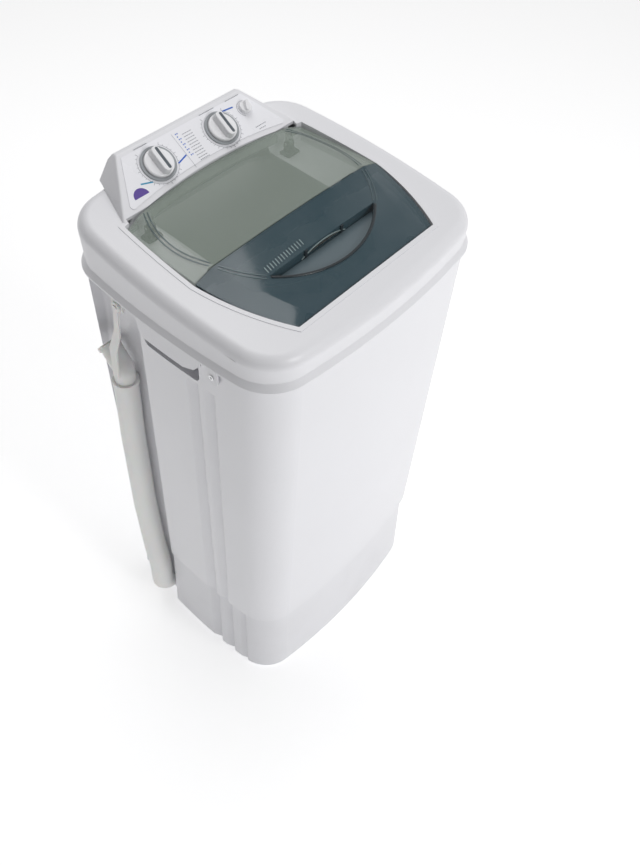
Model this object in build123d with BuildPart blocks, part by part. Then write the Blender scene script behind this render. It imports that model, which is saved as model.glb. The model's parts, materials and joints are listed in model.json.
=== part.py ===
from build123d import *
import os
from math import atan2, cos, degrees, hypot, radians, sin, sqrt, tan

# Top-loading single-tub washing machine with a hinged two-panel lid.
# Millimetres. +Z up, +X to the user's right, the user stands at -Y, controls at +Y.
# The origin is on the floor under the middle of the cabinet.

os.makedirs("parts", exist_ok=True)

# ---------------------------------------------------------------- driving dimensions
# Plan outline, at the lip of the top frame
LIP_WIDTH = 460.0
LIP_DEPTH = 422.0
SIDE_BOW = 13.0          # how far the sides bulge between their corners
END_BOW = 19.0           # how far the front and back bulge
CORNER_R = 66.0

# Heights
FOOT_DROP = 5.0          # the base stands this far above the floor
BASE_TOP = 163.0
LIP_Z = 752.0
CABINET_TUCK = 2.5       # the cabinet's wall reaches this far up inside the top frame
DECK_Z = 820.0           # the deck's height on the centre line
DECK_SLOPE = 5.0         # degrees, the deck rises towards the controls

# Insets of each shell from the lip's outline
CABINET_TOP_INSET = 4.0
CABINET_FOOT_INSET = 23.0
BASE_TOP_INSET = 28.0
BASE_FOOT_INSET = 26.0
NECK_INSET = 4.5         # the frame's waist just above its lip
LIP_EDGE = 3.0
LIP_FLARE = 10.0
DECK_EDGE_R = 17.0

# Walls and gaps
WALL = 3.0
FLOOR_T = 3.0
FIT = 0.4                # clearance between shells that sit in each other
RUN_FIT = 0.05           # radial clearance of a pin or shaft that turns

# Lid
LID_FRONT_Y = -161.0
LID_FRONT_HALF = 135.0
LID_FRONT_Z = 804.0
FOLD_Y = -28.0
FOLD_HALF = 180.0
FOLD_EDGE_Z = 820.0
LID_REAR_Y = 110.0
LID_REAR_HALF = 173.0
LID_REAR_BOW = 16.0
LID_REAR_EDGE_Z = 824.0
LID_SIDE_BOW = 7.0
LID_CROWN = 13.0         # rise of the middle above the side edges at the fold
LID_SHOULDER = 9.5       # rise at the inner end of the sloping margins
LID_MARGIN = 28.0        # width of the sloping margins
LID_OVERHANG = 12.0      # the cross-sections run on this far past the edges
LID_WALL = 2.6
LID_SKIRT = 8.0
LID_GAP = 2.5            # round the lid, in the frame's opening
FOLD_GAP = 0.8           # each panel stops this far from the fold line
FOLD_FLANGE_T = 2.4

# Lid mechanism: the fold axis is as far from the rear hinge as from the front tip,
# so that the tip slides along a straight line while the two panels fold
FOLD_AXIS_Z = 800.0
REAR_AXIS_Z = 815.0
HINGE_PIN_R = 2.0
KNUCKLE_R = 4.6
KNUCKLE_L = 12.0
KNUCKLE_X = (133.0, 38.0)
BRACKET_X = 139.0
LEDGE_DROP = 18.0        # the well's floor lies this far under the tip's line
LID_TRAVEL = 78.0        # degrees the rear panel swings up
SWING_GAP = 0.9          # round the room the lid's rear edge swings through

# Hand recess in the front panel
SCOOP_R = 157.0
SCOOP_CENTRE_Y = 33.0
SCOOP_CHORD_Y = -84.0
SCOOP_DEPTH = 14.0
SCOOP_WALL = 2.2

# Controls
FACE_Y = 119.0           # the sloping face meets the deck about here
FACE_Z = 833.0
FACE_SLOPE = 33.4        # degrees from the horizontal
FACE_LENGTH = 84.0       # up the slope
CONSOLE_BACK_Y = 208.0
CONSOLE_FOOT_HALF = 178.0
CONSOLE_FOOT_BACK_HALF = 142.0
CONSOLE_LEAN = 0.6       # mm inwards for each mm of height
CONSOLE_WALL = 2.5
FASCIA_T = 1.0
KNOB_U = (-74.0, 49.0)   # across the face
KNOB_V = 45.0            # up the face
KNOB_RING_R = 27.0
KNOB_R = 22.5
KNOB_H = 8.0
GRIP_H = 11.0
GRIP_W = 17.0
SMALL_KNOB_U = 105.0
SMALL_KNOB_V = 55.0
SMALL_KNOB_R = 10.0
SPINDLE_R = 3.0

# Tub and pulsator
TUB_TOP_HALF_W = 168.0
TUB_TOP_HALF_D = 160.0
TUB_FOOT_HALF = 146.0
TUB_CORNER = 82.0
TUB_Z = 172.0            # underside of the tub's floor
TUB_WALL = 2.5
TUB_RIM_Z = 770.0
PULSATOR_R = 132.0
PULSATOR_RISE = 16.0
SHAFT_R = 6.0

# Drive
CHASSIS_Z = 146.0
CHASSIS_T = 2.5
HOUSING_R = 22.0
HOUSING_FOOT_Z = 62.0
BUSH_L = 16.0
BUSH_T = 5.0
PULLEY_Z = 24.0
PULLEY_W = 14.0
PULLEY_R = 74.0
MOTOR_PULLEY_R = 21.0
GROOVE_DEPTH = 6.0
BELT_W = 4.4
BELT_T = 6.0
MOTOR_X = 108.0
MOTOR_Y = 62.0
MOTOR_R = 50.0
MOTOR_FOOT_Z = 52.0
MOTOR_TOP_Z = 136.0
ROTOR_R = 5.0
SHIELD_H = 9.0

# Hose and its channel
HOSE_X = -209.5
HOSE_R = 19.0
HOSE_WALL = 2.5
HOSE_TOP_Z = 556.0
CHANNEL_FLOOR_X = -188.0
CHANNEL_FRONT_Y = 38.0
CHANNEL_BACK_Y = 176.0
ELBOW_BEND_R = 20.0
DRAIN_X = -112.0
DRAIN_R = 14.0

# Small things
FOOT_R = 17.0
FOOT_X = 140.0
FOOT_Y = 122.0
SCREW_HEAD_R = 4.2
SCREW_R = 2.0
GRIP_FRONT_Y = -82.0
GRIP_BACK_Y = 38.0
GRIP_DROP = 28.0
TAB_Y = -101.0
TAB_LOW = LIP_Z - 24
TAB_SCREW_Z = LIP_Z - 12

BACK = LIP_DEPTH / 2
LEFT = -LIP_WIDTH / 2


def save(part, name):
    """Label a finished piece and write it as a STEP file."""
    part.label = name
    export_step(part, f"parts/{name}.step")


# ---------------------------------------------------------------- shared outlines
def plan_outline(inset, corner):
    """The cabinet's plan: four bowed sides and round corners, pulled in by inset."""
    half_w, half_d = LIP_WIDTH / 2 - inset, LIP_DEPTH / 2 - inset
    corner_x, corner_y = half_w - SIDE_BOW, half_d - END_BOW
    with BuildSketch() as outline:
        with BuildLine():
            ThreePointArc((-corner_x, -corner_y), (0, -half_d), (corner_x, -corner_y))
            ThreePointArc((corner_x, -corner_y), (half_w, 0), (corner_x, corner_y))
            ThreePointArc((corner_x, corner_y), (0, half_d), (-corner_x, corner_y))
            ThreePointArc((-corner_x, corner_y), (-half_w, 0), (-corner_x, -corner_y))
        make_face()
        fillet(outline.vertices(), corner)
    return outline.sketch


def shell_block(levels):
    """A solid through the plan outline at each (height, inset, corner) level."""
    with BuildPart() as block:
        for height, inset, corner in levels:
            with BuildSketch(Plane.XY.offset(height)):
                add(plan_outline(inset, corner))
        loft(ruled=True)
    return block.part


def cabinet_inset(height):
    """Inset of the cabinet's outer wall at a height, in a straight taper."""
    share = (height - BASE_TOP) / (LIP_Z - BASE_TOP)
    return CABINET_FOOT_INSET + share * (CABINET_TOP_INSET - CABINET_FOOT_INSET)


def base_inset(height):
    share = (height - FOOT_DROP) / (BASE_TOP - FOOT_DROP)
    return BASE_FOOT_INSET + share * (BASE_TOP_INSET - BASE_FOOT_INSET)


def rear_edge_y(x):
    """The lid's bowed rear edge."""
    return LID_REAR_Y + LID_REAR_BOW * (1 - (x / LID_REAR_HALF) ** 2)


def lid_outline(grow):
    """Plan of both lid panels together, grown by a margin."""
    side_mid_x = (LID_FRONT_HALF + FOLD_HALF) / 2 + LID_SIDE_BOW
    side_mid_y = (LID_FRONT_Y + FOLD_Y) / 2
    rear_mid_x = (FOLD_HALF + LID_REAR_HALF) / 2 + 1.5
    rear_mid_y = (FOLD_Y + LID_REAR_Y) / 2
    with BuildSketch() as outline:
        with BuildLine():
            Line((-LID_FRONT_HALF, LID_FRONT_Y), (LID_FRONT_HALF, LID_FRONT_Y))
            ThreePointArc((LID_FRONT_HALF, LID_FRONT_Y), (side_mid_x, side_mid_y),
                          (FOLD_HALF, FOLD_Y))
            ThreePointArc((FOLD_HALF, FOLD_Y), (rear_mid_x, rear_mid_y),
                          (LID_REAR_HALF, LID_REAR_Y))
            ThreePointArc((LID_REAR_HALF, LID_REAR_Y), (0, LID_REAR_Y + LID_REAR_BOW),
                          (-LID_REAR_HALF, LID_REAR_Y))
            ThreePointArc((-LID_REAR_HALF, LID_REAR_Y), (-rear_mid_x, rear_mid_y),
                          (-FOLD_HALF, FOLD_Y))
            ThreePointArc((-FOLD_HALF, FOLD_Y), (-side_mid_x, side_mid_y),
                          (-LID_FRONT_HALF, LID_FRONT_Y))
        make_face()
        if grow:
            offset(amount=grow, kind=Kind.INTERSECTION)
    return outline.sketch


def lid_section(half, edge_z, shoulder, crown, top_drop, depth):
    """Cross-section of the crowned lid, from top_drop under its skin to depth under it.

    It runs on past the lid's edges, where the plan outline trims it.
    """
    top, foot = edge_z - top_drop, edge_z - depth
    inner = half - LID_MARGIN
    outer = half + LID_OVERHANG
    outer_top = top - LID_OVERHANG * shoulder / LID_MARGIN
    with BuildSketch() as section:
        with BuildLine():
            Line((-outer, outer_top), (-inner, top + shoulder))
            ThreePointArc((-inner, top + shoulder), (0, top + crown), (inner, top + shoulder))
            Line((inner, top + shoulder), (outer, outer_top))
            Line((outer, outer_top), (outer, foot))
            Line((outer, foot), (-outer, foot))
            Line((-outer, foot), (-outer, outer_top))
        make_face()
    return section.sketch


def lid_block(y_front, y_back, section_front, section_back):
    """A solid between two cross-sections, each (half, edge_z, shoulder, crown, ...)."""
    with BuildPart() as block:
        for y, section in ((y_front, section_front), (y_back, section_back)):
            with BuildSketch(Plane.XZ.offset(-y)):
                add(lid_section(*section))
        loft(ruled=True)
    return block.part


deck_plane = Plane(origin=(0, 0, DECK_Z), x_dir=(1, 0, 0),
                   z_dir=(0, -sin(radians(DECK_SLOPE)), cos(radians(DECK_SLOPE))))

# The rear hinge, the fold and the front tip make an isosceles triangle
FOLD_REACH = hypot(FOLD_Y - LID_FRONT_Y, FOLD_AXIS_Z - LID_FRONT_Z)
REAR_AXIS_Y = FOLD_Y + sqrt(FOLD_REACH ** 2 - (REAR_AXIS_Z - FOLD_AXIS_Z) ** 2)
SLIDE_SLOPE = degrees(atan2(REAR_AXIS_Z - LID_FRONT_Z, REAR_AXIS_Y - LID_FRONT_Y))
slide_normal = (0, -sin(radians(SLIDE_SLOPE)), cos(radians(SLIDE_SLOPE)))
ledge_plane = Plane(origin=(0, LID_FRONT_Y, LID_FRONT_Z - LEDGE_DROP), x_dir=(1, 0, 0),
                    z_dir=slide_normal)


def edge_reach(x):
    """Distance of the lid's upper rear edge from the rear hinge's axis at x."""
    inner = LID_REAR_HALF - LID_MARGIN
    rise = LID_SHOULDER * min(1, (LID_REAR_HALF - abs(x)) / LID_MARGIN)
    rise += (LID_CROWN - LID_SHOULDER) * max(0, 1 - (x / inner) ** 2)
    return hypot(rear_edge_y(x) - REAR_AXIS_Y, LID_REAR_EDGE_Z + rise - REAR_AXIS_Z)


def swing_block(grow):
    """Room for the rear panel: what its rear edge sweeps, and where it stands open."""
    end_x = LID_REAR_HALF + 3 + grow
    shoulder_x = LID_REAR_HALF - LID_MARGIN
    lean_plane = Plane(origin=(0, REAR_AXIS_Y, REAR_AXIS_Z), x_dir=(1, 0, 0),
                       z_dir=(0, sin(radians(LID_TRAVEL)), cos(radians(LID_TRAVEL))))
    with BuildPart() as room:
        for x in (-end_x, -shoulder_x, -100, -50, 0, 50, 100, shoulder_x, end_x):
            with BuildSketch(Plane.YZ.offset(x)):
                with Locations((REAR_AXIS_Y, REAR_AXIS_Z)):
                    Circle(edge_reach(x) + SWING_GAP + grow)
        loft(ruled=True)
        with BuildSketch(lean_plane):
            with Locations((0, -13)):
                Rectangle(2 * (shoulder_x + 0.75 * LID_MARGIN), 26)
        extrude(amount=LID_REAR_EDGE_Z + LID_SHOULDER + SWING_GAP - REAR_AXIS_Z)
    return room.part


# ---------------------------------------------------------------- hose channel and flutes
def channel_block(z_low, z_high, extra):
    """The upright channel on the left side that holds the hose, grown by extra."""
    floor_x = CHANNEL_FLOOR_X + extra
    with BuildPart() as channel:
        with BuildSketch(Plane.XY.offset(z_low)):
            Polygon((LEFT - 10, CHANNEL_FRONT_Y - 4 - extra),
                    (-226, CHANNEL_FRONT_Y - extra), (floor_x, CHANNEL_FRONT_Y + 14 - extra),
                    (floor_x, CHANNEL_BACK_Y - 16 + extra), (-226, CHANNEL_BACK_Y + extra),
                    (LEFT - 10, CHANNEL_BACK_Y + 2 + extra), align=None)
        extrude(amount=z_high - z_low)
        fillet(channel.edges().filter_by(Axis.Z).sort_by(Axis.X)[-2:], 8)
    return channel.part


def flute_block(side, y_low, y_high, width, depth, z_low, z_high, inset_at, extra):
    """One V-shaped flute in a side wall, following the wall's lean."""
    with BuildPart() as flute:
        for z, y_start in ((z_low, y_low), (z_high, y_high)):
            wall_x = LIP_WIDTH / 2 - inset_at(z)
            y_mid = y_start - 0.62 * width
            bow = SIDE_BOW * (y_mid / (LIP_DEPTH / 2)) ** 2
            skin = wall_x - bow
            with BuildSketch(Plane.XY.offset(z)):
                Polygon((side * (skin + 12), y_start + 4 + extra),
                        (side * skin, y_start + extra),
                        (side * (skin - depth - extra), y_mid),
                        (side * skin, y_start - width - extra),
                        (side * (skin + 12), y_start - width - 4 - extra), align=None)
        loft(ruled=True)
    return flute.part


CABINET_FLUTES = ((-45.0, -50.0), (-72.0, -79.0))    # y at the foot and at the top
BASE_FLUTES = ((-50.0, -46.0), (-80.0, -75.0), (-110.0, -104.0))
FLUTE_WIDTH = 22.0
FLUTE_DEPTH = 6.0
CABINET_FLUTE_TOP = 700.0


def side_features(z_low, z_high, flutes, flute_top, inset_at, extra):
    """Everything that is pressed into the side walls, grown by extra."""
    with BuildPart() as features:
        add(channel_block(z_low, z_high, extra))
        for side in (-1, 1):
            for y_low, y_high in flutes:
                add(flute_block(side, y_low, y_high, FLUTE_WIDTH, FLUTE_DEPTH, z_low,
                                flute_top + extra, inset_at, extra))
    return features.part


# ---------------------------------------------------------------- base
corner_spots = [(x, y) for x in (-FOOT_X, FOOT_X) for y in (-FOOT_Y, FOOT_Y)]
BASE_FLOOR_Z = FOOT_DROP + FLOOR_T
GUARD_OPENING_INSET = 62.0
POST_R = 11.0
ELBOW_Z = 38.0
ELBOW_Y = 75.5
PIPE_FIT_R = HOSE_R - HOSE_WALL



def base_hollow():
    """The room inside the base."""
    with BuildPart() as hollow:
        add(shell_block(((BASE_FLOOR_Z, base_inset(BASE_FLOOR_Z) + WALL, CORNER_R - 11),
                         (BASE_TOP, base_inset(BASE_TOP) + WALL, CORNER_R - 12))))
        add(side_features(FOOT_DROP, BASE_TOP, BASE_FLUTES, BASE_TOP, base_inset, WALL),
            mode=Mode.SUBTRACT)
    return hollow.part


with BuildPart() as base_skirt:
    add(shell_block(((FOOT_DROP, base_inset(FOOT_DROP), CORNER_R - 8),
                     (BASE_TOP, base_inset(BASE_TOP), CORNER_R - 9))))
    add(side_features(FOOT_DROP, BASE_TOP, BASE_FLUTES, BASE_TOP, base_inset, 0),
        mode=Mode.SUBTRACT)
    add(base_hollow(), mode=Mode.SUBTRACT)
    with BuildSketch(Plane.XY.offset(FOOT_DROP)):
        add(plan_outline(GUARD_OPENING_INSET, 30))
    extrude(amount=FLOOR_T, mode=Mode.SUBTRACT)
    with BuildSketch(Plane.XY.offset(FOOT_DROP)):
        with Locations(*corner_spots):
            Circle(POST_R)
    extrude(amount=CHASSIS_Z - FOOT_DROP)
    with BuildSketch(Plane.XY.offset(FOOT_DROP)):
        with Locations(*corner_spots):
            Circle(SCREW_R + FIT)
    extrude(amount=CHASSIS_Z - FOOT_DROP, mode=Mode.SUBTRACT)
    with BuildSketch(Plane.YZ.offset(CHANNEL_FLOOR_X - 5)):
        with Locations((ELBOW_Y, ELBOW_Z)):
            Circle(PIPE_FIT_R + FIT)
    extrude(amount=WALL + 10, mode=Mode.SUBTRACT)
save(base_skirt.part, "base_skirt")

with BuildPart() as bottom_guard:
    with BuildSketch(Plane.XY.offset(BASE_FLOOR_Z)):
        add(plan_outline(GUARD_OPENING_INSET - 12, 40))
    extrude(amount=1.5)
    with BuildSketch(Plane.XY.offset(BASE_FLOOR_Z)):
        with GridLocations(52, 24, 5, 9):
            SlotOverall(38, 8)
        with Locations(*corner_spots):
            Circle(POST_R + FIT)
    extrude(amount=1.5, mode=Mode.SUBTRACT)
save(bottom_guard.part, "bottom_guard")

with BuildPart() as feet:
    with BuildSketch():
        with Locations(*corner_spots):
            Circle(FOOT_R)
    extrude(amount=FOOT_DROP)
    chamfer(feet.edges().group_by(Axis.Z)[0], 1.5)
    with BuildSketch():
        with Locations(*corner_spots):
            Circle(SCREW_HEAD_R + FIT)
    extrude(amount=FOOT_DROP - 1.5, mode=Mode.SUBTRACT)
    with BuildSketch():
        with Locations(*corner_spots):
            Circle(SCREW_R + FIT)
    extrude(amount=FOOT_DROP, mode=Mode.SUBTRACT)
save(feet.part, "rubber_feet")

with BuildPart() as foot_screws:
    with BuildSketch(Plane.XY.offset(1)):
        with Locations(*corner_spots):
            Circle(SCREW_HEAD_R)
    extrude(amount=2.2)
    with BuildSketch(Plane.XY.offset(3.2)):
        with Locations(*corner_spots):
            Circle(SCREW_R)
    extrude(amount=14)
save(foot_screws.part, "foot_screws")

# ---------------------------------------------------------------- cabinet
CABINET_TOP = LIP_Z + CABINET_TUCK
POCKET_DEPTH = 22.0
POCKET_LOW = 706.0
BACK_OPENING_W = 240.0
BACK_OPENING_LOW = 196.0
BACK_OPENING_HIGH = 430.0
SEAT_INSET = 42.0


def pocket_block(side, extra):
    """Finger room behind a side grip, open towards the outside and below."""
    depth = POCKET_DEPTH + extra
    with BuildPart() as pocket:
        with BuildSketch(Plane.YZ.offset(side * (LIP_WIDTH / 2 + 8))):
            with Locations(((GRIP_FRONT_Y + GRIP_BACK_Y) / 2, (POCKET_LOW + CABINET_TOP) / 2)):
                RectangleRounded(GRIP_BACK_Y - GRIP_FRONT_Y - 16 + 2 * extra,
                                 CABINET_TOP - POCKET_LOW + 2 * extra, 10 + extra)
        extrude(amount=-side * (depth + 8))
    return pocket.part


def cabinet_hollow():
    """The room inside the cabinet's walls."""
    with BuildPart() as hollow:
        add(shell_block(((BASE_TOP + FLOOR_T, cabinet_inset(BASE_TOP) + WALL, CORNER_R - 10),
                         (CABINET_TOP, cabinet_inset(CABINET_TOP) + WALL, CORNER_R - 4))))
        add(side_features(BASE_TOP, CABINET_TOP, CABINET_FLUTES, CABINET_FLUTE_TOP,
                          cabinet_inset, WALL), mode=Mode.SUBTRACT)
        for side in (-1, 1):
            add(pocket_block(side, WALL), mode=Mode.SUBTRACT)
    return hollow.part


def cabinet_form(grow):
    """The cabinet's plain outer form, grown outwards by a margin."""
    return shell_block(((BASE_TOP, cabinet_inset(BASE_TOP) - grow, CORNER_R - 7 + grow),
                        (CABINET_TOP, cabinet_inset(CABINET_TOP) - grow,
                         CORNER_R - 1 + grow)))


with BuildPart() as cabinet_body:
    add(cabinet_form(0))
    add(side_features(BASE_TOP, CABINET_TOP, CABINET_FLUTES, CABINET_FLUTE_TOP,
                      cabinet_inset, 0), mode=Mode.SUBTRACT)
    add(cabinet_hollow(), mode=Mode.SUBTRACT)
    for side in (-1, 1):
        add(pocket_block(side, 0), mode=Mode.SUBTRACT)
    with BuildSketch(Plane.XY.offset(BASE_TOP)):
        add(plan_outline(SEAT_INSET, 50))
    extrude(amount=FLOOR_T, mode=Mode.SUBTRACT)
    with BuildSketch(Plane.XZ.offset(-BACK - 10)):
        with Locations((0, (BACK_OPENING_LOW + BACK_OPENING_HIGH) / 2)):
            RectangleRounded(BACK_OPENING_W, BACK_OPENING_HIGH - BACK_OPENING_LOW, 14)
    extrude(amount=60, mode=Mode.SUBTRACT)
    with BuildSketch(Plane.YZ.offset(LEFT)):
        with Locations((TAB_Y, TAB_SCREW_Z)):
            Circle(SCREW_R + FIT)
    extrude(amount=LIP_WIDTH, mode=Mode.SUBTRACT)
save(cabinet_body.part, "cabinet_body")

# Service cover over the opening in the back, bowed like the wall and leaning with it
COVER_OVERLAP = 14.0
COVER_T = 2.0
cover_screw_spots = [(x, z) for x in (-BACK_OPENING_W / 2 - 7, BACK_OPENING_W / 2 + 7)
                     for z in (BACK_OPENING_LOW + 20, BACK_OPENING_HIGH - 20)]
with BuildPart() as service_cover:
    with BuildSketch(Plane.XZ.offset(-BACK - 10)):
        with Locations((0, (BACK_OPENING_LOW + BACK_OPENING_HIGH) / 2)):
            RectangleRounded(BACK_OPENING_W + 2 * COVER_OVERLAP,
                             BACK_OPENING_HIGH - BACK_OPENING_LOW + 2 * COVER_OVERLAP, 20)
    extrude(amount=60)
    add(cabinet_form(FIT + COVER_T), mode=Mode.INTERSECT)
    add(cabinet_form(FIT), mode=Mode.SUBTRACT)
    with BuildSketch(Plane.XZ.offset(-BACK - 10)):
        with Locations((0, BACK_OPENING_LOW + 70)):
            with GridLocations(64, 14, 3, 7):
                SlotOverall(50, 5)
        with Locations(*cover_screw_spots):
            Circle(SCREW_R + FIT)
    extrude(amount=60, mode=Mode.SUBTRACT)
save(service_cover.part, "service_cover")


def wall_back_y(x, inset):
    """The back wall's outer surface at x."""
    half_d = LIP_DEPTH / 2 - inset
    corner_x = LIP_WIDTH / 2 - inset - SIDE_BOW
    return half_d - END_BOW * (x / corner_x) ** 2


with BuildPart() as cover_screws:
    for x, z in cover_screw_spots:
        skin_y = wall_back_y(x, cabinet_inset(z) - FIT - COVER_T)
        with BuildSketch(Plane.XZ.offset(-skin_y - 3)):
            with Locations((x, z)):
                Circle(SCREW_HEAD_R)
        extrude(amount=2.0)
        with BuildSketch(Plane.XZ.offset(-skin_y - 1)):
            with Locations((x, z)):
                Circle(SCREW_R)
        extrude(amount=COVER_T + 0.7)
save(cover_screws.part, "cover_screws")

# Cord gland low on the back, where the mains lead would leave
GLAND_X, GLAND_Z = 150.0, 200.0
gland_y = wall_back_y(GLAND_X, cabinet_inset(GLAND_Z))
with BuildPart() as cord_gland:
    with BuildSketch(Plane.XZ.offset(-gland_y - 8)):
        with Locations((GLAND_X, GLAND_Z)):
            Circle(8)
    extrude(amount=12)
    chamfer(cord_gland.edges().group_by(Axis.Y)[-1], 1)
    with BuildSketch(Plane.XZ.offset(-gland_y - 8)):
        with Locations((GLAND_X, GLAND_Z)):
            Circle(3.6)
    extrude(amount=12, mode=Mode.SUBTRACT)
    add(cabinet_form(FIT), mode=Mode.SUBTRACT)
save(cord_gland.part, "cord_gland")

# ---------------------------------------------------------------- top frame
BAND_TOP_INSET = -1.0
BAND_TOP_Z = DECK_Z + 45.0
FRAME_WALL = 3.0
WELL_WALL = 2.5
PLATEAU_GROW = 9.0
PLATEAU_RISE = 0.9
MOUTH_HALF_W = 118.0
MOUTH_FRONT = -128.0
MOUTH_BACK = 150.0
SERVICE_W = 270.0        # opening in the deck under the console, for the switches
SERVICE_FRONT = 140.0
SERVICE_BACK = 192.0


def frame_block(extra, edge_r):
    """The top frame's outer form, or its hollow when extra is the wall."""
    with BuildPart() as block:
        add(shell_block(((LIP_Z, extra, CORNER_R - extra),
                         (LIP_Z + LIP_EDGE, extra, CORNER_R - extra))))
        add(shell_block(((LIP_Z + LIP_EDGE, extra, CORNER_R - extra),
                         (LIP_Z + LIP_EDGE + LIP_FLARE, NECK_INSET + extra,
                          CORNER_R - extra))))
        add(shell_block(((LIP_Z + LIP_EDGE + LIP_FLARE, NECK_INSET + extra,
                          CORNER_R - extra),
                         (BAND_TOP_Z, BAND_TOP_INSET + extra, CORNER_R - extra))))
        split(bisect_by=deck_plane.offset(-extra), keep=Keep.BOTTOM)
        rim = block.faces().sort_by(Axis(deck_plane.origin, deck_plane.z_dir))[-1]
        fillet(rim.edges(), edge_r)
    return block.part


def rim_skin(low):
    """The frame's wall carried straight down to a height."""
    with BuildPart() as skin:
        add(shell_block(((low, 0, CORNER_R), (LIP_Z + LIP_EDGE, 0, CORNER_R))))
        add(shell_block(((low, FRAME_WALL, CORNER_R - FRAME_WALL),
                         (LIP_Z + LIP_EDGE, FRAME_WALL, CORNER_R - FRAME_WALL))),
            mode=Mode.SUBTRACT)
    return skin.part


def grip_block(side):
    """The moulded grip that hangs below the lip over the finger pocket."""
    low = LIP_Z - GRIP_DROP
    with BuildPart() as grip:
        with BuildSketch(Plane.YZ.offset(side * LIP_WIDTH / 2)):
            with BuildLine():
                Polyline((GRIP_BACK_Y, LIP_Z + LIP_EDGE), (GRIP_BACK_Y - 3, LIP_Z - 18),
                         (GRIP_BACK_Y - 13, low), (-50, low), (-70, low + 8),
                         (GRIP_FRONT_Y, LIP_Z - 5), (GRIP_FRONT_Y, LIP_Z + LIP_EDGE),
                         close=True)
            make_face()
        extrude(amount=-side * 7)
        add(rim_skin(low - 5), mode=Mode.INTERSECT)
    return grip.part


screw_tab_spots = [(side, TAB_Y) for side in (-1, 1)]


def skin_x(y, inset):
    """Distance of the side wall's surface from the middle plane at y."""
    corner_y = LIP_DEPTH / 2 - inset - END_BOW
    return LIP_WIDTH / 2 - inset - SIDE_BOW * (y / corner_y) ** 2


def lid_prism(z_low, grow, top_plane, low_plane):
    """The lid's plan outline as a solid between two sloping planes."""
    with BuildPart() as prism:
        with BuildSketch(Plane.XY.offset(z_low)):
            add(lid_outline(grow))
        extrude(amount=150)
        if top_plane:
            split(bisect_by=top_plane, keep=Keep.BOTTOM)
        split(bisect_by=low_plane, keep=Keep.TOP)
    return prism.part


def swing_bay(grow, top_plane, low_plane):
    """The swing room between two sloping planes, for the frame's rear wall."""
    with BuildPart() as bay:
        add(swing_block(grow))
        split(bisect_by=top_plane, keep=Keep.BOTTOM)
        split(bisect_by=low_plane, keep=Keep.TOP)
    return bay.part


with BuildPart() as top_frame:
    add(frame_block(0, DECK_EDGE_R))
    add(frame_block(FRAME_WALL, DECK_EDGE_R - FRAME_WALL), mode=Mode.SUBTRACT)
    # raised plateau round the lid, then the well under it
    add(lid_prism(LIP_Z, PLATEAU_GROW, deck_plane.offset(PLATEAU_RISE),
                  deck_plane.offset(-FRAME_WALL)))
    add(lid_prism(LIP_Z, LID_GAP + WELL_WALL, deck_plane, ledge_plane.offset(-FLOOR_T)))
    add(swing_bay(WELL_WALL, deck_plane, ledge_plane.offset(-FLOOR_T)))
    add(lid_prism(LIP_Z, LID_GAP, None, ledge_plane), mode=Mode.SUBTRACT)
    add(swing_bay(0, deck_plane.offset(20), ledge_plane), mode=Mode.SUBTRACT)
    # mouth of the tub in the well's floor, with a wide bay for the lid's rear edge
    with BuildSketch(Plane.XY.offset(LIP_Z)):
        with BuildLine():
            Polyline((-MOUTH_HALF_W, MOUTH_BACK), (-MOUTH_HALF_W, 0),
                     (-MOUTH_HALF_W, MOUTH_FRONT + 60), (-MOUTH_HALF_W + 60, MOUTH_FRONT),
                     (MOUTH_HALF_W - 60, MOUTH_FRONT), (MOUTH_HALF_W, MOUTH_FRONT + 60),
                     (MOUTH_HALF_W, MOUTH_BACK), close=True)
        make_face()
    extrude(amount=56, mode=Mode.SUBTRACT)
    with BuildSketch(Plane.XY.offset(DECK_Z - 30)):
        with Locations((0, (SERVICE_FRONT + SERVICE_BACK) / 2)):
            RectangleRounded(SERVICE_W, SERVICE_BACK - SERVICE_FRONT, 8)
    extrude(amount=60, mode=Mode.SUBTRACT)
    for side in (-1, 1):
        add(grip_block(side))
    for side, y in screw_tab_spots:
        with BuildSketch(Plane.YZ.offset(side * (skin_x(y, 0) - 0.2))):
            with Locations((y, (TAB_LOW + LIP_Z + LIP_EDGE) / 2)):
                RectangleRounded(20, LIP_Z + LIP_EDGE - TAB_LOW, 7)
        extrude(amount=-side * 2.8)
        with BuildSketch(Plane.YZ.offset(side * (skin_x(y, 0) + 1))):
            with Locations((y, TAB_SCREW_Z)):
                Circle(SCREW_R + FIT)
        extrude(amount=-side * 8, mode=Mode.SUBTRACT)
save(top_frame.part, "top_frame")

with BuildPart() as frame_screws:
    for side, y in screw_tab_spots:
        with BuildSketch(Plane.YZ.offset(side * (skin_x(y, 0) + 0.9))):
            with Locations((y, TAB_SCREW_Z)):
                Circle(SCREW_HEAD_R)
        extrude(amount=-side * 1.0)
        with BuildSketch(Plane.YZ.offset(side * (skin_x(y, 0) + 0.9))):
            with Locations((y, TAB_SCREW_Z)):
                Circle(SCREW_R)
        extrude(amount=-side * 9)
        with BuildSketch(Plane.YZ.offset(side * (skin_x(y, 0) + 1.0))):
            with Locations((y, TAB_SCREW_Z)):
                Rectangle(4.6, 1.1)
                Rectangle(1.1, 4.6)
        extrude(amount=-side * 0.9, mode=Mode.SUBTRACT)
save(frame_screws.part, "frame_screws")

# ---------------------------------------------------------------- lid panels
FLANGE_FOOT_Z = FOLD_AXIS_Z + KNUCKLE_R + FIT
PRISM_LOW, PRISM_H = 760.0, 120.0
LUG_W = 6.0
LUG_R = 5.0
SLOT_HALF = 44.0


def outline_prism(grow):
    with BuildPart() as prism:
        with BuildSketch(Plane.XY.offset(PRISM_LOW)):
            add(lid_outline(grow))
        extrude(amount=PRISM_H)
    return prism.part


def front_section(top_drop, depth):
    return (LID_FRONT_HALF, LID_FRONT_Z, 0.2, 0.5, top_drop, depth)


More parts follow.
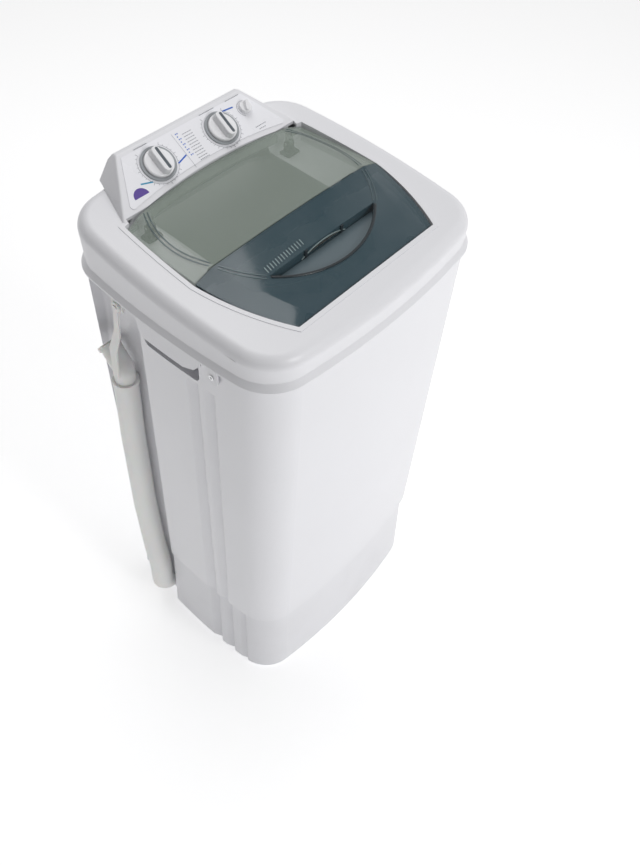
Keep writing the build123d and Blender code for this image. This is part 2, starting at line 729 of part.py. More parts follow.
def fold_section(top_drop, depth):
    return (FOLD_HALF, FOLD_EDGE_Z, LID_SHOULDER, LID_CROWN, top_drop, depth)


def rear_section(top_drop, depth):
    return (LID_REAR_HALF, LID_REAR_EDGE_Z, LID_SHOULDER, LID_CROWN, top_drop, depth)


def knuckle(x_start, wall_side):
    """One hinge knuckle at the fold and the web that joins it to its flange."""
    web_y = FOLD_Y + wall_side * (FOLD_GAP + FOLD_FLANGE_T / 2)
    with BuildPart() as piece:
        with BuildSketch(Plane.YZ.offset(x_start)):
            with Locations((FOLD_Y, FOLD_AXIS_Z)):
                Circle(KNUCKLE_R)
            with Locations((web_y, FOLD_AXIS_Z + 4)):
                Rectangle(FOLD_FLANGE_T, 8)
            with Locations((FOLD_Y, FOLD_AXIS_Z)):
                Circle(HINGE_PIN_R + RUN_FIT, mode=Mode.SUBTRACT)
        extrude(amount=KNUCKLE_L)
    return piece.part


KNUCKLE_GAP = 0.5
knuckle_spots = [x for half in KNUCKLE_X for x in (-half, half)]
fold_front_y = FOLD_Y - FOLD_GAP
fold_rear_y = FOLD_Y + FOLD_GAP
REAR_END_Y = LID_REAR_Y + LID_REAR_BOW + 4
FLANGE_DEPTH = FOLD_EDGE_Z - FLANGE_FOOT_Z

skin_z = LID_FRONT_Z + (FOLD_EDGE_Z + LID_CROWN - LID_FRONT_Z) \
    * (SCOOP_CHORD_Y - LID_FRONT_Y) / (FOLD_Y - LID_FRONT_Y)
pan_plane = Plane(origin=(0, SCOOP_CHORD_Y, skin_z - SCOOP_DEPTH), x_dir=(1, 0, 0),
                  z_dir=(0, sin(radians(3.5)), cos(radians(3.5))))


def pan_block(grow):
    """The half-moon of the hand recess, from its floor upwards, grown by a wall."""
    with BuildPart() as pan:
        with BuildSketch(Plane.XY.offset(LID_FRONT_Z - 20)):
            with Locations((0, SCOOP_CENTRE_Y)):
                Circle(SCOOP_R + grow)
            with Locations((0, SCOOP_CHORD_Y + grow)):
                Rectangle(400, 400, align=(Align.CENTER, Align.MIN), mode=Mode.SUBTRACT)
        extrude(amount=80)
        split(bisect_by=pan_plane.offset(-grow), keep=Keep.TOP)
    return pan.part


with BuildPart() as lid_front_panel:
    add(lid_block(LID_FRONT_Y, fold_front_y, front_section(0, LID_SKIRT),
                  fold_section(0, LID_SKIRT)))
    add(lid_block(LID_FRONT_Y, fold_front_y - FOLD_FLANGE_T,
                  front_section(LID_WALL, LID_SKIRT + 1),
                  fold_section(LID_WALL, LID_SKIRT + 1)).intersect(outline_prism(-LID_WALL)),
        mode=Mode.SUBTRACT)
    add(lid_block(fold_front_y - FOLD_FLANGE_T, fold_front_y, fold_section(1, FLANGE_DEPTH),
                  fold_section(1, FLANGE_DEPTH)))
    # dished hand recess: a half-moon pan with a finger slot in its straight rear wall
    add(pan_block(SCOOP_WALL).intersect(
        lid_block(LID_FRONT_Y, fold_front_y, front_section(1, 40), fold_section(1, 40))))
    add(pan_block(0), mode=Mode.SUBTRACT)
    with BuildSketch(Plane.XZ.offset(-SCOOP_CHORD_Y + 6)):
        with BuildLine():
            Line((-SLOT_HALF, skin_z - SCOOP_DEPTH + 1), (SLOT_HALF, skin_z - SCOOP_DEPTH + 1))
            ThreePointArc((SLOT_HALF, skin_z - SCOOP_DEPTH + 1), (0, skin_z - 3.4),
                          (-SLOT_HALF, skin_z - SCOOP_DEPTH + 1))
        make_face()
    extrude(amount=-14, mode=Mode.SUBTRACT)
    add(outline_prism(0), mode=Mode.INTERSECT)
    for x in knuckle_spots:
        add(knuckle(x - KNUCKLE_L - KNUCKLE_GAP / 2, -1))
save(lid_front_panel.part, "lid_front_panel")

with BuildPart() as lid_rear_panel:
    add(lid_block(fold_rear_y, REAR_END_Y, fold_section(0, LID_SKIRT),
                  rear_section(0, LID_SKIRT)))
    add(lid_block(fold_rear_y + FOLD_FLANGE_T, REAR_END_Y + 1,
                  fold_section(LID_WALL, LID_SKIRT + 1),
                  rear_section(LID_WALL, LID_SKIRT + 1)).intersect(outline_prism(-LID_WALL)),
        mode=Mode.SUBTRACT)
    add(lid_block(fold_rear_y, fold_rear_y + FOLD_FLANGE_T, fold_section(1, FLANGE_DEPTH),
                  fold_section(1, FLANGE_DEPTH)))
    for side in (-1, 1):
        # notch in the rear skirt, then the hinge lug inside it
        with Locations((side * BRACKET_X, REAR_AXIS_Y + 14, REAR_AXIS_Z)):
            Box(28, 20, 2 * (LID_REAR_EDGE_Z + LID_SHOULDER - LID_WALL - REAR_AXIS_Z) - 1,
                mode=Mode.SUBTRACT)
        with BuildSketch(Plane.YZ.offset(side * BRACKET_X - LUG_W / 2)):
            with Locations((REAR_AXIS_Y, REAR_AXIS_Z)):
                Circle(LUG_R)
                Rectangle(2 * LUG_R, LID_REAR_EDGE_Z + LID_SHOULDER - LID_WALL + 0.6
                          - REAR_AXIS_Z, align=(Align.CENTER, Align.MIN))
            with Locations((REAR_AXIS_Y, REAR_AXIS_Z)):
                Circle(HINGE_PIN_R + RUN_FIT, mode=Mode.SUBTRACT)
        extrude(amount=LUG_W)
    add(outline_prism(0), mode=Mode.INTERSECT)
    for x in knuckle_spots:
        add(knuckle(x + KNUCKLE_GAP / 2, 1))
save(lid_rear_panel.part, "lid_rear_panel")

rod_half = max(KNUCKLE_X) + KNUCKLE_L + 2
with BuildPart() as fold_rod:
    with BuildSketch(Plane.YZ.offset(-rod_half)):
        with Locations((FOLD_Y, FOLD_AXIS_Z)):
            Circle(HINGE_PIN_R)
    extrude(amount=2 * rod_half)
save(fold_rod.part, "fold_rod")

CHEEK_T = 3.0
CHEEK_GAP = 0.5
bracket_foot_z = LID_FRONT_Z - LEDGE_DROP \
    + tan(radians(SLIDE_SLOPE)) * (REAR_AXIS_Y + 9 - LID_FRONT_Y) + FIT
with BuildPart() as hinge_brackets:
    for side in (-1, 1):
        for cheek in (-1, 1):
            cheek_x = side * BRACKET_X + cheek * (LUG_W / 2 + CHEEK_GAP + CHEEK_T / 2)
            with BuildSketch(Plane.YZ.offset(cheek_x - CHEEK_T / 2)):
                with Locations((REAR_AXIS_Y, REAR_AXIS_Z)):
                    Circle(HINGE_PIN_R + 2.4)
                    Rectangle(2 * (HINGE_PIN_R + 2.4), REAR_AXIS_Z - bracket_foot_z,
                              align=(Align.CENTER, Align.MAX))
                with Locations((REAR_AXIS_Y, REAR_AXIS_Z)):
                    Circle(HINGE_PIN_R + RUN_FIT, mode=Mode.SUBTRACT)
            extrude(amount=CHEEK_T)
        with BuildSketch(Plane.XY.offset(bracket_foot_z)):
            with Locations((side * BRACKET_X, REAR_AXIS_Y - 2)):
                RectangleRounded(26, 20, 3)
        extrude(amount=2)
save(hinge_brackets.part, "hinge_brackets")

with BuildPart() as rear_hinge_pins:
    for side in (-1, 1):
        with BuildSketch(Plane.YZ.offset(side * BRACKET_X - 7.5)):
            with Locations((REAR_AXIS_Y, REAR_AXIS_Z)):
                Circle(HINGE_PIN_R)
        extrude(amount=15)
save(rear_hinge_pins.part, "rear_hinge_pins")

# Rubber buffers that carry the front corners of the shut lid
BUFFER_R = 6.0
BUFFER_X = 104.0
BUFFER_Y = LID_FRONT_Y + 9
with BuildPart() as lid_buffers:
    with BuildSketch(Plane.XY.offset(LID_FRONT_Z - LEDGE_DROP + 1)):
        with Locations((-BUFFER_X, BUFFER_Y), (BUFFER_X, BUFFER_Y)):
            Circle(BUFFER_R)
    extrude(amount=LEDGE_DROP - LID_SKIRT - 1.6)
    fillet(lid_buffers.edges().group_by(Axis.Z)[-1], 1.5)
save(lid_buffers.part, "lid_buffers")

# ---------------------------------------------------------------- console
face_plane = Plane(origin=(0, FACE_Y, FACE_Z), x_dir=(1, 0, 0),
                   z_dir=(0, -sin(radians(FACE_SLOPE)), cos(radians(FACE_SLOPE))))
face_top_y = FACE_Y + FACE_LENGTH * cos(radians(FACE_SLOPE))
face_top_z = FACE_Z + FACE_LENGTH * sin(radians(FACE_SLOPE))
FACE_TAIL = 22.0         # the face's plane runs on this far below the deck
CONSOLE_LOW_Z = 800.0
CONSOLE_HIGH_Z = 900.0


def console_sides(extra):
    """The leaning plan of the console, from its foot up."""
    with BuildPart() as sides:
        for z in (CONSOLE_LOW_Z, CONSOLE_HIGH_Z):
            lean = CONSOLE_LEAN * (z - FACE_Z) + 1.2 * extra
            front_half = CONSOLE_FOOT_HALF - lean
            back_half = CONSOLE_FOOT_BACK_HALF - lean
            with BuildSketch(Plane.XY.offset(z)):
                Polygon((-front_half, FACE_Y - FACE_TAIL - 1),
                        (front_half, FACE_Y - FACE_TAIL - 1),
                        (back_half, CONSOLE_BACK_Y + 1), (-back_half, CONSOLE_BACK_Y + 1),
                        align=None)
        loft(ruled=True)
    return sides.part


def console_block(extra):
    """The console's form: a wedge with leaning sides, pulled in by extra."""
    with BuildPart() as block:
        with BuildSketch(Plane.YZ.offset(-LIP_WIDTH / 2)):
            with BuildLine():
                Polyline((FACE_Y - FACE_TAIL, CONSOLE_LOW_Z),
                         (FACE_Y - FACE_TAIL, FACE_Z - FACE_TAIL * tan(radians(FACE_SLOPE))),
                         (face_top_y, face_top_z), (face_top_y + 9, face_top_z - 1),
                         (CONSOLE_BACK_Y - 3, face_top_z - 12), (CONSOLE_BACK_Y, DECK_Z + 16),
                         (CONSOLE_BACK_Y, CONSOLE_LOW_Z), close=True)
            make_face()
            if extra:
                offset(amount=-extra, kind=Kind.INTERSECTION)
        extrude(amount=LIP_WIDTH)
        add(console_sides(extra), mode=Mode.INTERSECT)
    return block.part


def console_hollow():
    with BuildPart() as hollow:
        add(console_block(CONSOLE_WALL))
        add(outline_prism(LID_GAP + CONSOLE_WALL + 2), mode=Mode.SUBTRACT)
    return hollow.part


knob_spots = [(u, KNOB_V) for u in KNOB_U]
small_spot = (SMALL_KNOB_U, SMALL_KNOB_V)
with BuildPart() as console_housing:
    add(console_block(0))
    crown_edges = [e for e in console_housing.edges()
                   if e.center().Z > FACE_Z + 12 and abs(e.center().Y - CONSOLE_BACK_Y) > 8]
    fillet(crown_edges, 4)
    add(console_hollow(), mode=Mode.SUBTRACT)
    split(bisect_by=deck_plane.offset(PLATEAU_RISE + 0.1), keep=Keep.TOP)
    add(outline_prism(LID_GAP), mode=Mode.SUBTRACT)
    add(swing_block(0), mode=Mode.SUBTRACT)
    with BuildSketch(face_plane.offset(-8)):
        with Locations(*knob_spots, small_spot):
            Circle(SPINDLE_R + 1)
    extrude(amount=12, mode=Mode.SUBTRACT)
    with BuildSketch(Plane.XZ.offset(-CONSOLE_BACK_Y - 3)):
        with Locations((0, DECK_Z + 32)):
            RectangleRounded(190, 20, 4)
    extrude(amount=14, mode=Mode.SUBTRACT)
save(console_housing.part, "console_housing")

with BuildPart() as console_back_cover:
    with BuildSketch(Plane.XZ.offset(-CONSOLE_BACK_Y - 1.8)):
        with Locations((0, DECK_Z + 32)):
            RectangleRounded(206, 26, 5)
    extrude(amount=1.5)
    with BuildSketch(Plane.XZ.offset(-CONSOLE_BACK_Y - 1.8)):
        with Locations((0, DECK_Z + 32)):
            with GridLocations(24, 1, 6, 1):
                SlotOverall(14, 4, rotation=90)
        with Locations((-98, DECK_Z + 32), (98, DECK_Z + 32)):
            Circle(SCREW_R)
    extrude(amount=1.5, mode=Mode.SUBTRACT)
save(console_back_cover.part, "console_back_cover")

# Printed fascia on the sloping face
FASCIA_MARGIN = 6.0
fascia_foot_half, fascia_top_half = 154.0, 116.0
with BuildPart() as console_fascia:
    with BuildSketch(face_plane):
        with BuildLine():
            ThreePointArc((-fascia_foot_half, 5), (0, 19), (fascia_foot_half, 5))
            Line((fascia_foot_half, 5), (fascia_top_half, FACE_LENGTH - FASCIA_MARGIN))
            Line((fascia_top_half, FACE_LENGTH - FASCIA_MARGIN),
                 (-fascia_top_half, FACE_LENGTH - FASCIA_MARGIN))
            Line((-fascia_top_half, FACE_LENGTH - FASCIA_MARGIN), (-fascia_foot_half, 5))
        fascia_face = make_face()
        fillet(fascia_face.vertices(), 5)
        with Locations(*knob_spots, small_spot):
            Circle(SPINDLE_R + 1, mode=Mode.SUBTRACT)
    extrude(amount=FASCIA_T)
save(console_fascia.part, "console_fascia")

# ---------------------------------------------------------------- controls
CASE_SIZE = 44.0
CASE_DEPTH = 26.0
CASE_GAP = 1.5
SPINDLE_TOP = 11.0
BORE_TOP = 12.0
control_low = -CONSOLE_WALL - CASE_GAP


PAD_T = 1.2
PAD_W = 4.6
PAD_L = 36.0
PAD_SHIFT = 1.8
PAD_FIT = 0.1


def face_disc(u, v, low, high, radius, bore=0.0):
    """A disc or ring on the sloping face between two heights above it."""
    with BuildPart() as disc:
        with BuildSketch(face_plane.offset(low)):
            with Locations((u, v)):
                Circle(radius)
                if bore:
                    Circle(bore, mode=Mode.SUBTRACT)
        extrude(amount=high - low)
    return disc.part


def switch_case(u, v, size, depth):
    """The box of a timer or switch, under the face."""
    with BuildPart() as case:
        with BuildSketch(face_plane.offset(control_low)):
            with Locations((u, v)):
                RectangleRounded(size, size, 4)
        extrude(amount=-depth)
        fillet(case.edges().group_by(Axis(face_plane.origin, face_plane.z_dir))[0], 2)
    return case.part


def knob_body(u, v):
    """A round knob with a raised grip bar across it."""
    with BuildPart() as knob:
        with BuildSketch(face_plane.offset(FASCIA_T + 0.6)):
            with Locations((u, v)):
                Circle(KNOB_R)
        extrude(amount=KNOB_H - FASCIA_T - 0.6)
        fillet(knob.edges().group_by(Axis(face_plane.origin, face_plane.z_dir))[-1], 2.5)
        with BuildSketch(face_plane.offset(KNOB_H - 3)):
            with Locations((u, v)):
                SlotOverall(2 * KNOB_R - 1.5, GRIP_W, rotation=90)
        extrude(amount=GRIP_H + 3, taper=6)
        fillet(knob.edges().group_by(Axis(face_plane.origin, face_plane.z_dir))[-1], 1.6)
        with BuildSketch(face_plane.offset(FASCIA_T)):
            with Locations((u, v)):
                Circle(SPINDLE_R + RUN_FIT)
        extrude(amount=BORE_TOP - FASCIA_T, mode=Mode.SUBTRACT)
        # seat for the grip pad, in the flat top of the bar
        with BuildSketch(face_plane.offset(KNOB_H + GRIP_H - PAD_T)):
            with Locations((u + PAD_SHIFT, v)):
                SlotOverall(PAD_L + 2 * PAD_FIT, PAD_W + 2 * PAD_FIT, rotation=90)
        extrude(amount=PAD_T + 1, mode=Mode.SUBTRACT)
    return knob.part


def knob_pad(u, v):
    """The dark pad let into the grip bar, with its pointer towards the scale."""
    with BuildPart() as pad:
        with BuildSketch(face_plane.offset(KNOB_H + GRIP_H - PAD_T + PAD_FIT)):
            with Locations((u + PAD_SHIFT, v)):
                SlotOverall(PAD_L, PAD_W, rotation=90)
        extrude(amount=PAD_T)
    return pad.part


knob_names = ("timer", "program")
for name, (u, v) in zip(knob_names, knob_spots):
    save(switch_case(u, v, CASE_SIZE, CASE_DEPTH), f"{name}_case")
    save(face_disc(u, v, control_low + 0.5, SPINDLE_TOP, SPINDLE_R), f"{name}_spindle")
    save(face_disc(u, v, FASCIA_T + 0.3, 3.6, KNOB_RING_R, KNOB_R + 0.8), f"{name}_ring")
    save(knob_body(u, v), f"{name}_knob")
    save(knob_pad(u, v), f"{name}_pad")

SELECTOR_CASE = 22.0
SELECTOR_TOP = 9.0
save(switch_case(SMALL_KNOB_U, SMALL_KNOB_V, SELECTOR_CASE, SELECTOR_CASE), "selector_case")
with BuildPart() as selector_knob:
    with BuildSketch(face_plane.offset(FASCIA_T + 0.6)):
        with Locations(small_spot):
            Circle(SMALL_KNOB_R)
    extrude(amount=6)
    fillet(selector_knob.edges().group_by(Axis(face_plane.origin, face_plane.z_dir))[-1], 1.5)
    with BuildSketch(face_plane.offset(FASCIA_T + 5)):
        with Locations(small_spot):
            SlotOverall(2 * SMALL_KNOB_R - 2.5, 5, rotation=60)
    extrude(amount=SELECTOR_TOP - 2)
    add(face_disc(SMALL_KNOB_U, SMALL_KNOB_V, control_low + 0.5, FASCIA_T + 1, SPINDLE_R))
save(selector_knob.part, "selector_knob")

# ---------------------------------------------------------------- tub
TUB_FLANGE = 6.0
BOSS_SPOT = 104.0
NOZZLE_R = 16.0
NOZZLE_BORE = 13.6
SEAL_R = 14.0
CHASSIS_TOP = CHASSIS_Z + CHASSIS_T


def tub_half(z):
    """The tub's half width and half depth at a height."""
    share = (z - TUB_Z) / (TUB_RIM_Z - TUB_Z)
    return (TUB_FOOT_HALF + share * (TUB_TOP_HALF_W - TUB_FOOT_HALF),
            TUB_FOOT_HALF + share * (TUB_TOP_HALF_D - TUB_FOOT_HALF))


def tub_block(z_low, z_high, inset):
    """The tapering tub between two heights, pulled in by its wall for the hollow."""
    with BuildPart() as block:
        for z in (z_low, z_high):
            half_w, half_d = tub_half(z)
            with BuildSketch(Plane.XY.offset(z)):
                RectangleRounded(2 * (half_w - inset), 2 * (half_d - inset), TUB_CORNER - inset)
        loft(ruled=True)
    return block.part


with BuildPart() as wash_tub:
    add(tub_block(TUB_Z, TUB_RIM_Z, 0))
    with BuildSketch(Plane.XY.offset(TUB_RIM_Z - 3)):
        RectangleRounded(2 * (TUB_TOP_HALF_W + TUB_FLANGE), 2 * (TUB_TOP_HALF_D + TUB_FLANGE),
                         TUB_CORNER + TUB_FLANGE)
    extrude(amount=3)
    add(tub_block(TUB_Z + FLOOR_T, TUB_RIM_Z, TUB_WALL), mode=Mode.SUBTRACT)
    with BuildSketch(Plane.XY.offset(TUB_Z)):
        Circle(SEAL_R + FIT)
    extrude(amount=FLOOR_T, mode=Mode.SUBTRACT)
    with BuildSketch(Plane.XY.offset(CHASSIS_TOP + FIT)):
        with GridLocations(2 * BOSS_SPOT, 2 * BOSS_SPOT, 2, 2):
            Circle(9)
    extrude(amount=TUB_Z - CHASSIS_TOP - FIT)
    with BuildSketch(Plane.XY.offset(CHASSIS_Z - 8)):
        with Locations((DRAIN_X, ELBOW_Y)):
            Circle(NOZZLE_R)
    extrude(amount=TUB_Z - CHASSIS_Z + 8)
    with BuildSketch(Plane.XY.offset(CHASSIS_Z - 8)):
        with Locations((DRAIN_X, ELBOW_Y)):
            Circle(NOZZLE_BORE)
    extrude(amount=TUB_Z - CHASSIS_Z + 8 + FLOOR_T, mode=Mode.SUBTRACT)
save(wash_tub.part, "wash_tub")

# Lint filter on the tub's right wall
FILTER_Z = 540.0
FILTER_W, FILTER_H = 76.0, 120.0
filter_x = tub_half(FILTER_Z - FILTER_H / 2)[0] - TUB_WALL - FIT
with BuildPart() as filter_frame:
    with BuildSketch(Plane.YZ.offset(filter_x)):
        with Locations((0, FILTER_Z)):
            RectangleRounded(FILTER_W, FILTER_H, 12)
            RectangleRounded(FILTER_W - 12, FILTER_H - 12, 7, mode=Mode.SUBTRACT)
    extrude(amount=-5)
save(filter_frame.part, "filter_frame")
with BuildPart() as filter_bag:
    with BuildSketch(Plane.YZ.offset(filter_x - 1)):
        with Locations((0, FILTER_Z)):
            RectangleRounded(FILTER_W - 12 - 2 * FIT, FILTER_H - 12 - 2 * FIT, 6)
    extrude(amount=-9, taper=25)
save(filter_bag.part, "filter_bag")

# ---------------------------------------------------------------- pulsator
PULSATOR_Z = 181.0
PULSATOR_RIM_T = 5.0
VANES = 6
CAP_R = 24.0
boss_top = PULSATOR_Z + PULSATOR_RIM_T + PULSATOR_RISE
with BuildPart() as pulsator:
    with BuildSketch(Plane.XZ):
        with BuildLine():
            Polyline((SHAFT_R + RUN_FIT, PULSATOR_Z + 1), (26, PULSATOR_Z + 1), (32, PULSATOR_Z + 5),
                     (PULSATOR_R - 16, PULSATOR_Z + 1), (PULSATOR_R - 5, PULSATOR_Z),
                     (PULSATOR_R, PULSATOR_Z), (PULSATOR_R, PULSATOR_Z + PULSATOR_RIM_T + 2),
                     (PULSATOR_R - 12, PULSATOR_Z + PULSATOR_RIM_T), (62, boss_top - 9),
                     (CAP_R + 4, boss_top), (SHAFT_R + RUN_FIT, boss_top), close=True)
        make_face()
    revolve(axis=Axis.Z)
    with BuildSketch(Plane.XY.offset(PULSATOR_Z + PULSATOR_RIM_T)):
        with PolarLocations(76, VANES):
            SlotOverall(88, 16)
    extrude(amount=15, taper=18)
save(pulsator.part, "pulsator")

with BuildPart() as pulsator_cap:
    with BuildSketch(Plane.XY.offset(boss_top + FIT)):
        Circle(CAP_R)
    extrude(amount=6)
    fillet(pulsator_cap.edges().group_by(Axis.Z)[-1], 3)
    with BuildSketch(Plane.XY.offset(boss_top + FIT)):
        Circle(CAP_R - 4)
    extrude(amount=4, mode=Mode.SUBTRACT)
save(pulsator_cap.part, "pulsator_cap")

SHAFT_FOOT_Z = 18.0
shaft_top = boss_top - 5
SCREW_BORE_R = 2.8
with BuildPart() as pulsator_screw:
    with BuildSketch(Plane.XY.offset(boss_top + 0.3)):
        RegularPolygon(8, 6)
    extrude(amount=3)
    with BuildSketch(Plane.XY.offset(boss_top + 0.3)):
        Circle(SCREW_BORE_R - 0.3)
    extrude(amount=-14)
save(pulsator_screw.part, "pulsator_screw")

# ---------------------------------------------------------------- shaft and bearings
HOUSING_TOP_Z = 168.0
HOUSING_BORE = HOUSING_R - BUSH_T - 1
HOUSING_FLANGE_R = 45.0
with BuildPart() as drive_shaft:
    with BuildSketch(Plane.XY.offset(SHAFT_FOOT_Z)):
        Circle(SHAFT_R)
    extrude(amount=shaft_top - SHAFT_FOOT_Z)
    with BuildSketch(Plane.XY.offset(shaft_top - 12)):
        Circle(SCREW_BORE_R)
    extrude(amount=12, mode=Mode.SUBTRACT)
save(drive_shaft.part, "drive_shaft")

with BuildPart() as shaft_seal:
    with BuildSketch(Plane.XY.offset(HOUSING_TOP_Z + 1)):
        Circle(SEAL_R)
    extrude(amount=TUB_Z + FLOOR_T + FIT - HOUSING_TOP_Z - 1)
    with BuildSketch(Plane.XY.offset(TUB_Z + FLOOR_T + FIT)):
        Circle(SEAL_R + 7)
    extrude(amount=2.4)
    with BuildSketch(Plane.XY.offset(HOUSING_TOP_Z)):
        Circle(SHAFT_R + RUN_FIT)
    extrude(amount=20, mode=Mode.SUBTRACT)
save(shaft_seal.part, "shaft_seal")

housing_bolt_spots = [(36 * cos(radians(a)), 36 * sin(radians(a))) for a in (45, 135, 225, 315)]
with BuildPart() as bearing_housing:
    with BuildSketch(Plane.XY.offset(HOUSING_FOOT_Z)):
        Circle(HOUSING_R)
    extrude(amount=HOUSING_TOP_Z - HOUSING_FOOT_Z)
    with BuildSketch(Plane.XY.offset(CHASSIS_TOP + FIT)):
        Circle(HOUSING_FLANGE_R)
    extrude(amount=4)
    with BuildSketch(Plane.XY.offset(HOUSING_FOOT_Z)):
        Circle(HOUSING_BORE)
        with Locations(*housing_bolt_spots):
            Circle(3.4)
    extrude(amount=HOUSING_TOP_Z - HOUSING_FOOT_Z, mode=Mode.SUBTRACT)
save(bearing_housing.part, "bearing_housing")

with BuildPart() as bearing_bushes:
    for z in (HOUSING_FOOT_Z, HOUSING_TOP_Z - BUSH_L):
        with BuildSketch(Plane.XY.offset(z)):
            Circle(HOUSING_BORE - FIT)
            Circle(SHAFT_R + RUN_FIT, mode=Mode.SUBTRACT)
        extrude(amount=BUSH_L)
save(bearing_bushes.part, "bearing_bushes")

with BuildPart() as housing_bolts:
    with BuildSketch(Plane.XY.offset(CHASSIS_TOP + FIT + 4 + FIT)):
        with Locations(*housing_bolt_spots):
            RegularPolygon(5.5, 6)
    extrude(amount=4)
    with BuildSketch(Plane.XY.offset(CHASSIS_Z - 6)):
        with Locations(*housing_bolt_spots):
            Circle(3)
    extrude(amount=CHASSIS_T + 2 * FIT + 10)
save(housing_bolts.part, "housing_bolts")

# ---------------------------------------------------------------- belt drive
def pulley(x, y, rim_r, hub_r, shaft_r):
    """A V-belt pulley, solid when its web would be shorter than its hub."""
    low, high = PULLEY_Z, PULLEY_Z + PULLEY_W
    mid = (low + high) / 2
    floor_r = rim_r - GROOVE_DEPTH
    with BuildPart() as wheel:
        with BuildSketch(Plane.XZ):
            with BuildLine():
                Polyline((shaft_r + RUN_FIT, low), (rim_r, low), (rim_r, low + 1.6),
                         (floor_r, mid - 2.7), (floor_r, mid + 2.7), (rim_r, high - 1.6),
                         (rim_r, high), (shaft_r + RUN_FIT, high), close=True)
            make_face()
            if rim_r > 2 * hub_r:
                for z in (low + 2, high - 2):
                    with Locations(((hub_r + floor_r - 4) / 2, z)):
                        Rectangle(floor_r - 4 - hub_r, 4.1, mode=Mode.SUBTRACT)
        revolve(axis=Axis.Z)
        if rim_r > 2 * hub_r:
            with BuildSketch(Plane.XY.offset(low)):
                with PolarLocations((hub_r + floor_r - 4) / 2, 6):
                    Circle(13)
            extrude(amount=PULLEY_W, mode=Mode.SUBTRACT)
    return wheel.part.moved(Location((x, y, 0)))


save(pulley(0, 0, PULLEY_R, 14, SHAFT_R), "large_pulley")
save(pulley(MOTOR_X, MOTOR_Y, MOTOR_PULLEY_R, 12, ROTOR_R), "motor_pulley")

with BuildPart() as pulley_nut:
    with BuildSketch(Plane.XY.offset(PULLEY_Z + PULLEY_W + FIT)):
        Circle(13)
        Circle(SHAFT_R + RUN_FIT, mode=Mode.SUBTRACT)
    extrude(amount=6)
save(pulley_nut.part, "pulley_collar")

with BuildPart() as drive_belt:
    with BuildSketch(Plane.XY.offset(PULLEY_Z + PULLEY_W / 2 - BELT_W / 2)):
        Circle(PULLEY_R - GROOVE_DEPTH + 0.3 + BELT_T)
        with Locations((MOTOR_X, MOTOR_Y)):
            Circle(MOTOR_PULLEY_R - GROOVE_DEPTH + 0.3 + BELT_T)
        make_hull()
    extrude(amount=BELT_W)
    with BuildSketch(Plane.XY.offset(PULLEY_Z + PULLEY_W / 2 - BELT_W / 2)):
        Circle(PULLEY_R - GROOVE_DEPTH + 0.3)
        with Locations((MOTOR_X, MOTOR_Y)):
            Circle(MOTOR_PULLEY_R - GROOVE_DEPTH + 0.3)
        make_hull()
    extrude(amount=BELT_W, mode=Mode.SUBTRACT)
save(drive_belt.part, "drive_belt")

# ---------------------------------------------------------------- motor
LUG_SPOT_R = 57.0
motor_bolt_spots = [(MOTOR_X + LUG_SPOT_R * cos(radians(a)), MOTOR_Y + LUG_SPOT_R * sin(radians(a)))
                    for a in (150, 270, 10)]
MOTOR_BUSH_R = 8.0


def motor_disc(z, height, radius, bore=0.0):
    with BuildPart() as disc:
        with BuildSketch(Plane.XY.offset(z)):
            with Locations((MOTOR_X, MOTOR_Y)):
                Circle(radius)
                if bore:
                    Circle(bore, mode=Mode.SUBTRACT)
        extrude(amount=height)
    return disc.part


save(motor_disc(MOTOR_FOOT_Z + SHIELD_H, MOTOR_TOP_Z - MOTOR_FOOT_Z - 2 * SHIELD_H - FIT,
                MOTOR_R - 1, MOTOR_R - 4), "motor_can")
save(motor_disc(MOTOR_FOOT_Z, SHIELD_H - FIT, MOTOR_R, ROTOR_R + RUN_FIT), "motor_lower_shield")
with BuildPart() as upper_shield:
    add(motor_disc(MOTOR_TOP_Z - SHIELD_H, SHIELD_H, MOTOR_R))
    with BuildSketch(Plane.XY.offset(MOTOR_TOP_Z - 4)):
        with Locations(*motor_bolt_spots):
            Circle(MOTOR_BUSH_R + 2)
    extrude(amount=4)
    with BuildSketch(Plane.XY.offset(MOTOR_TOP_Z - SHIELD_H)):
        with Locations(*motor_bolt_spots):
            Circle(3.4)
        with Locations((MOTOR_X, MOTOR_Y)):
            Circle(ROTOR_R + RUN_FIT)
    extrude(amount=SHIELD_H, mode=Mode.SUBTRACT)
save(upper_shield.part, "motor_upper_shield")

with BuildPart() as rotor:
    add(motor_disc(PULLEY_Z - 3, MOTOR_TOP_Z - 2 - PULLEY_Z + 3, ROTOR_R))
    add(motor_disc(MOTOR_FOOT_Z + 20, MOTOR_TOP_Z - MOTOR_FOOT_Z - 40, MOTOR_R - 18))
save(rotor.part, "rotor_shaft")

bush_height = CHASSIS_Z - MOTOR_TOP_Z - 2 * FIT
with BuildPart() as motor_bushes:
    with BuildSketch(Plane.XY.offset(MOTOR_TOP_Z + FIT)):
        with Locations(*motor_bolt_spots):
            Circle(MOTOR_BUSH_R)
            Circle(3.4, mode=Mode.SUBTRACT)
    extrude(amount=bush_height)
save(motor_bushes.part, "motor_bushes")

with BuildPart() as motor_bolts:
    with BuildSketch(Plane.XY.offset(CHASSIS_TOP + FIT)):
        with Locations(*motor_bolt_spots):
            RegularPolygon(5.5, 6)
    extrude(amount=4)
    with BuildSketch(Plane.XY.offset(MOTOR_TOP_Z - 8)):
        with Locations(*motor_bolt_spots):
            Circle(3)
    extrude(amount=CHASSIS_TOP + 1 - MOTOR_TOP_Z + 8)
save(motor_bolts.part, "motor_bolts")

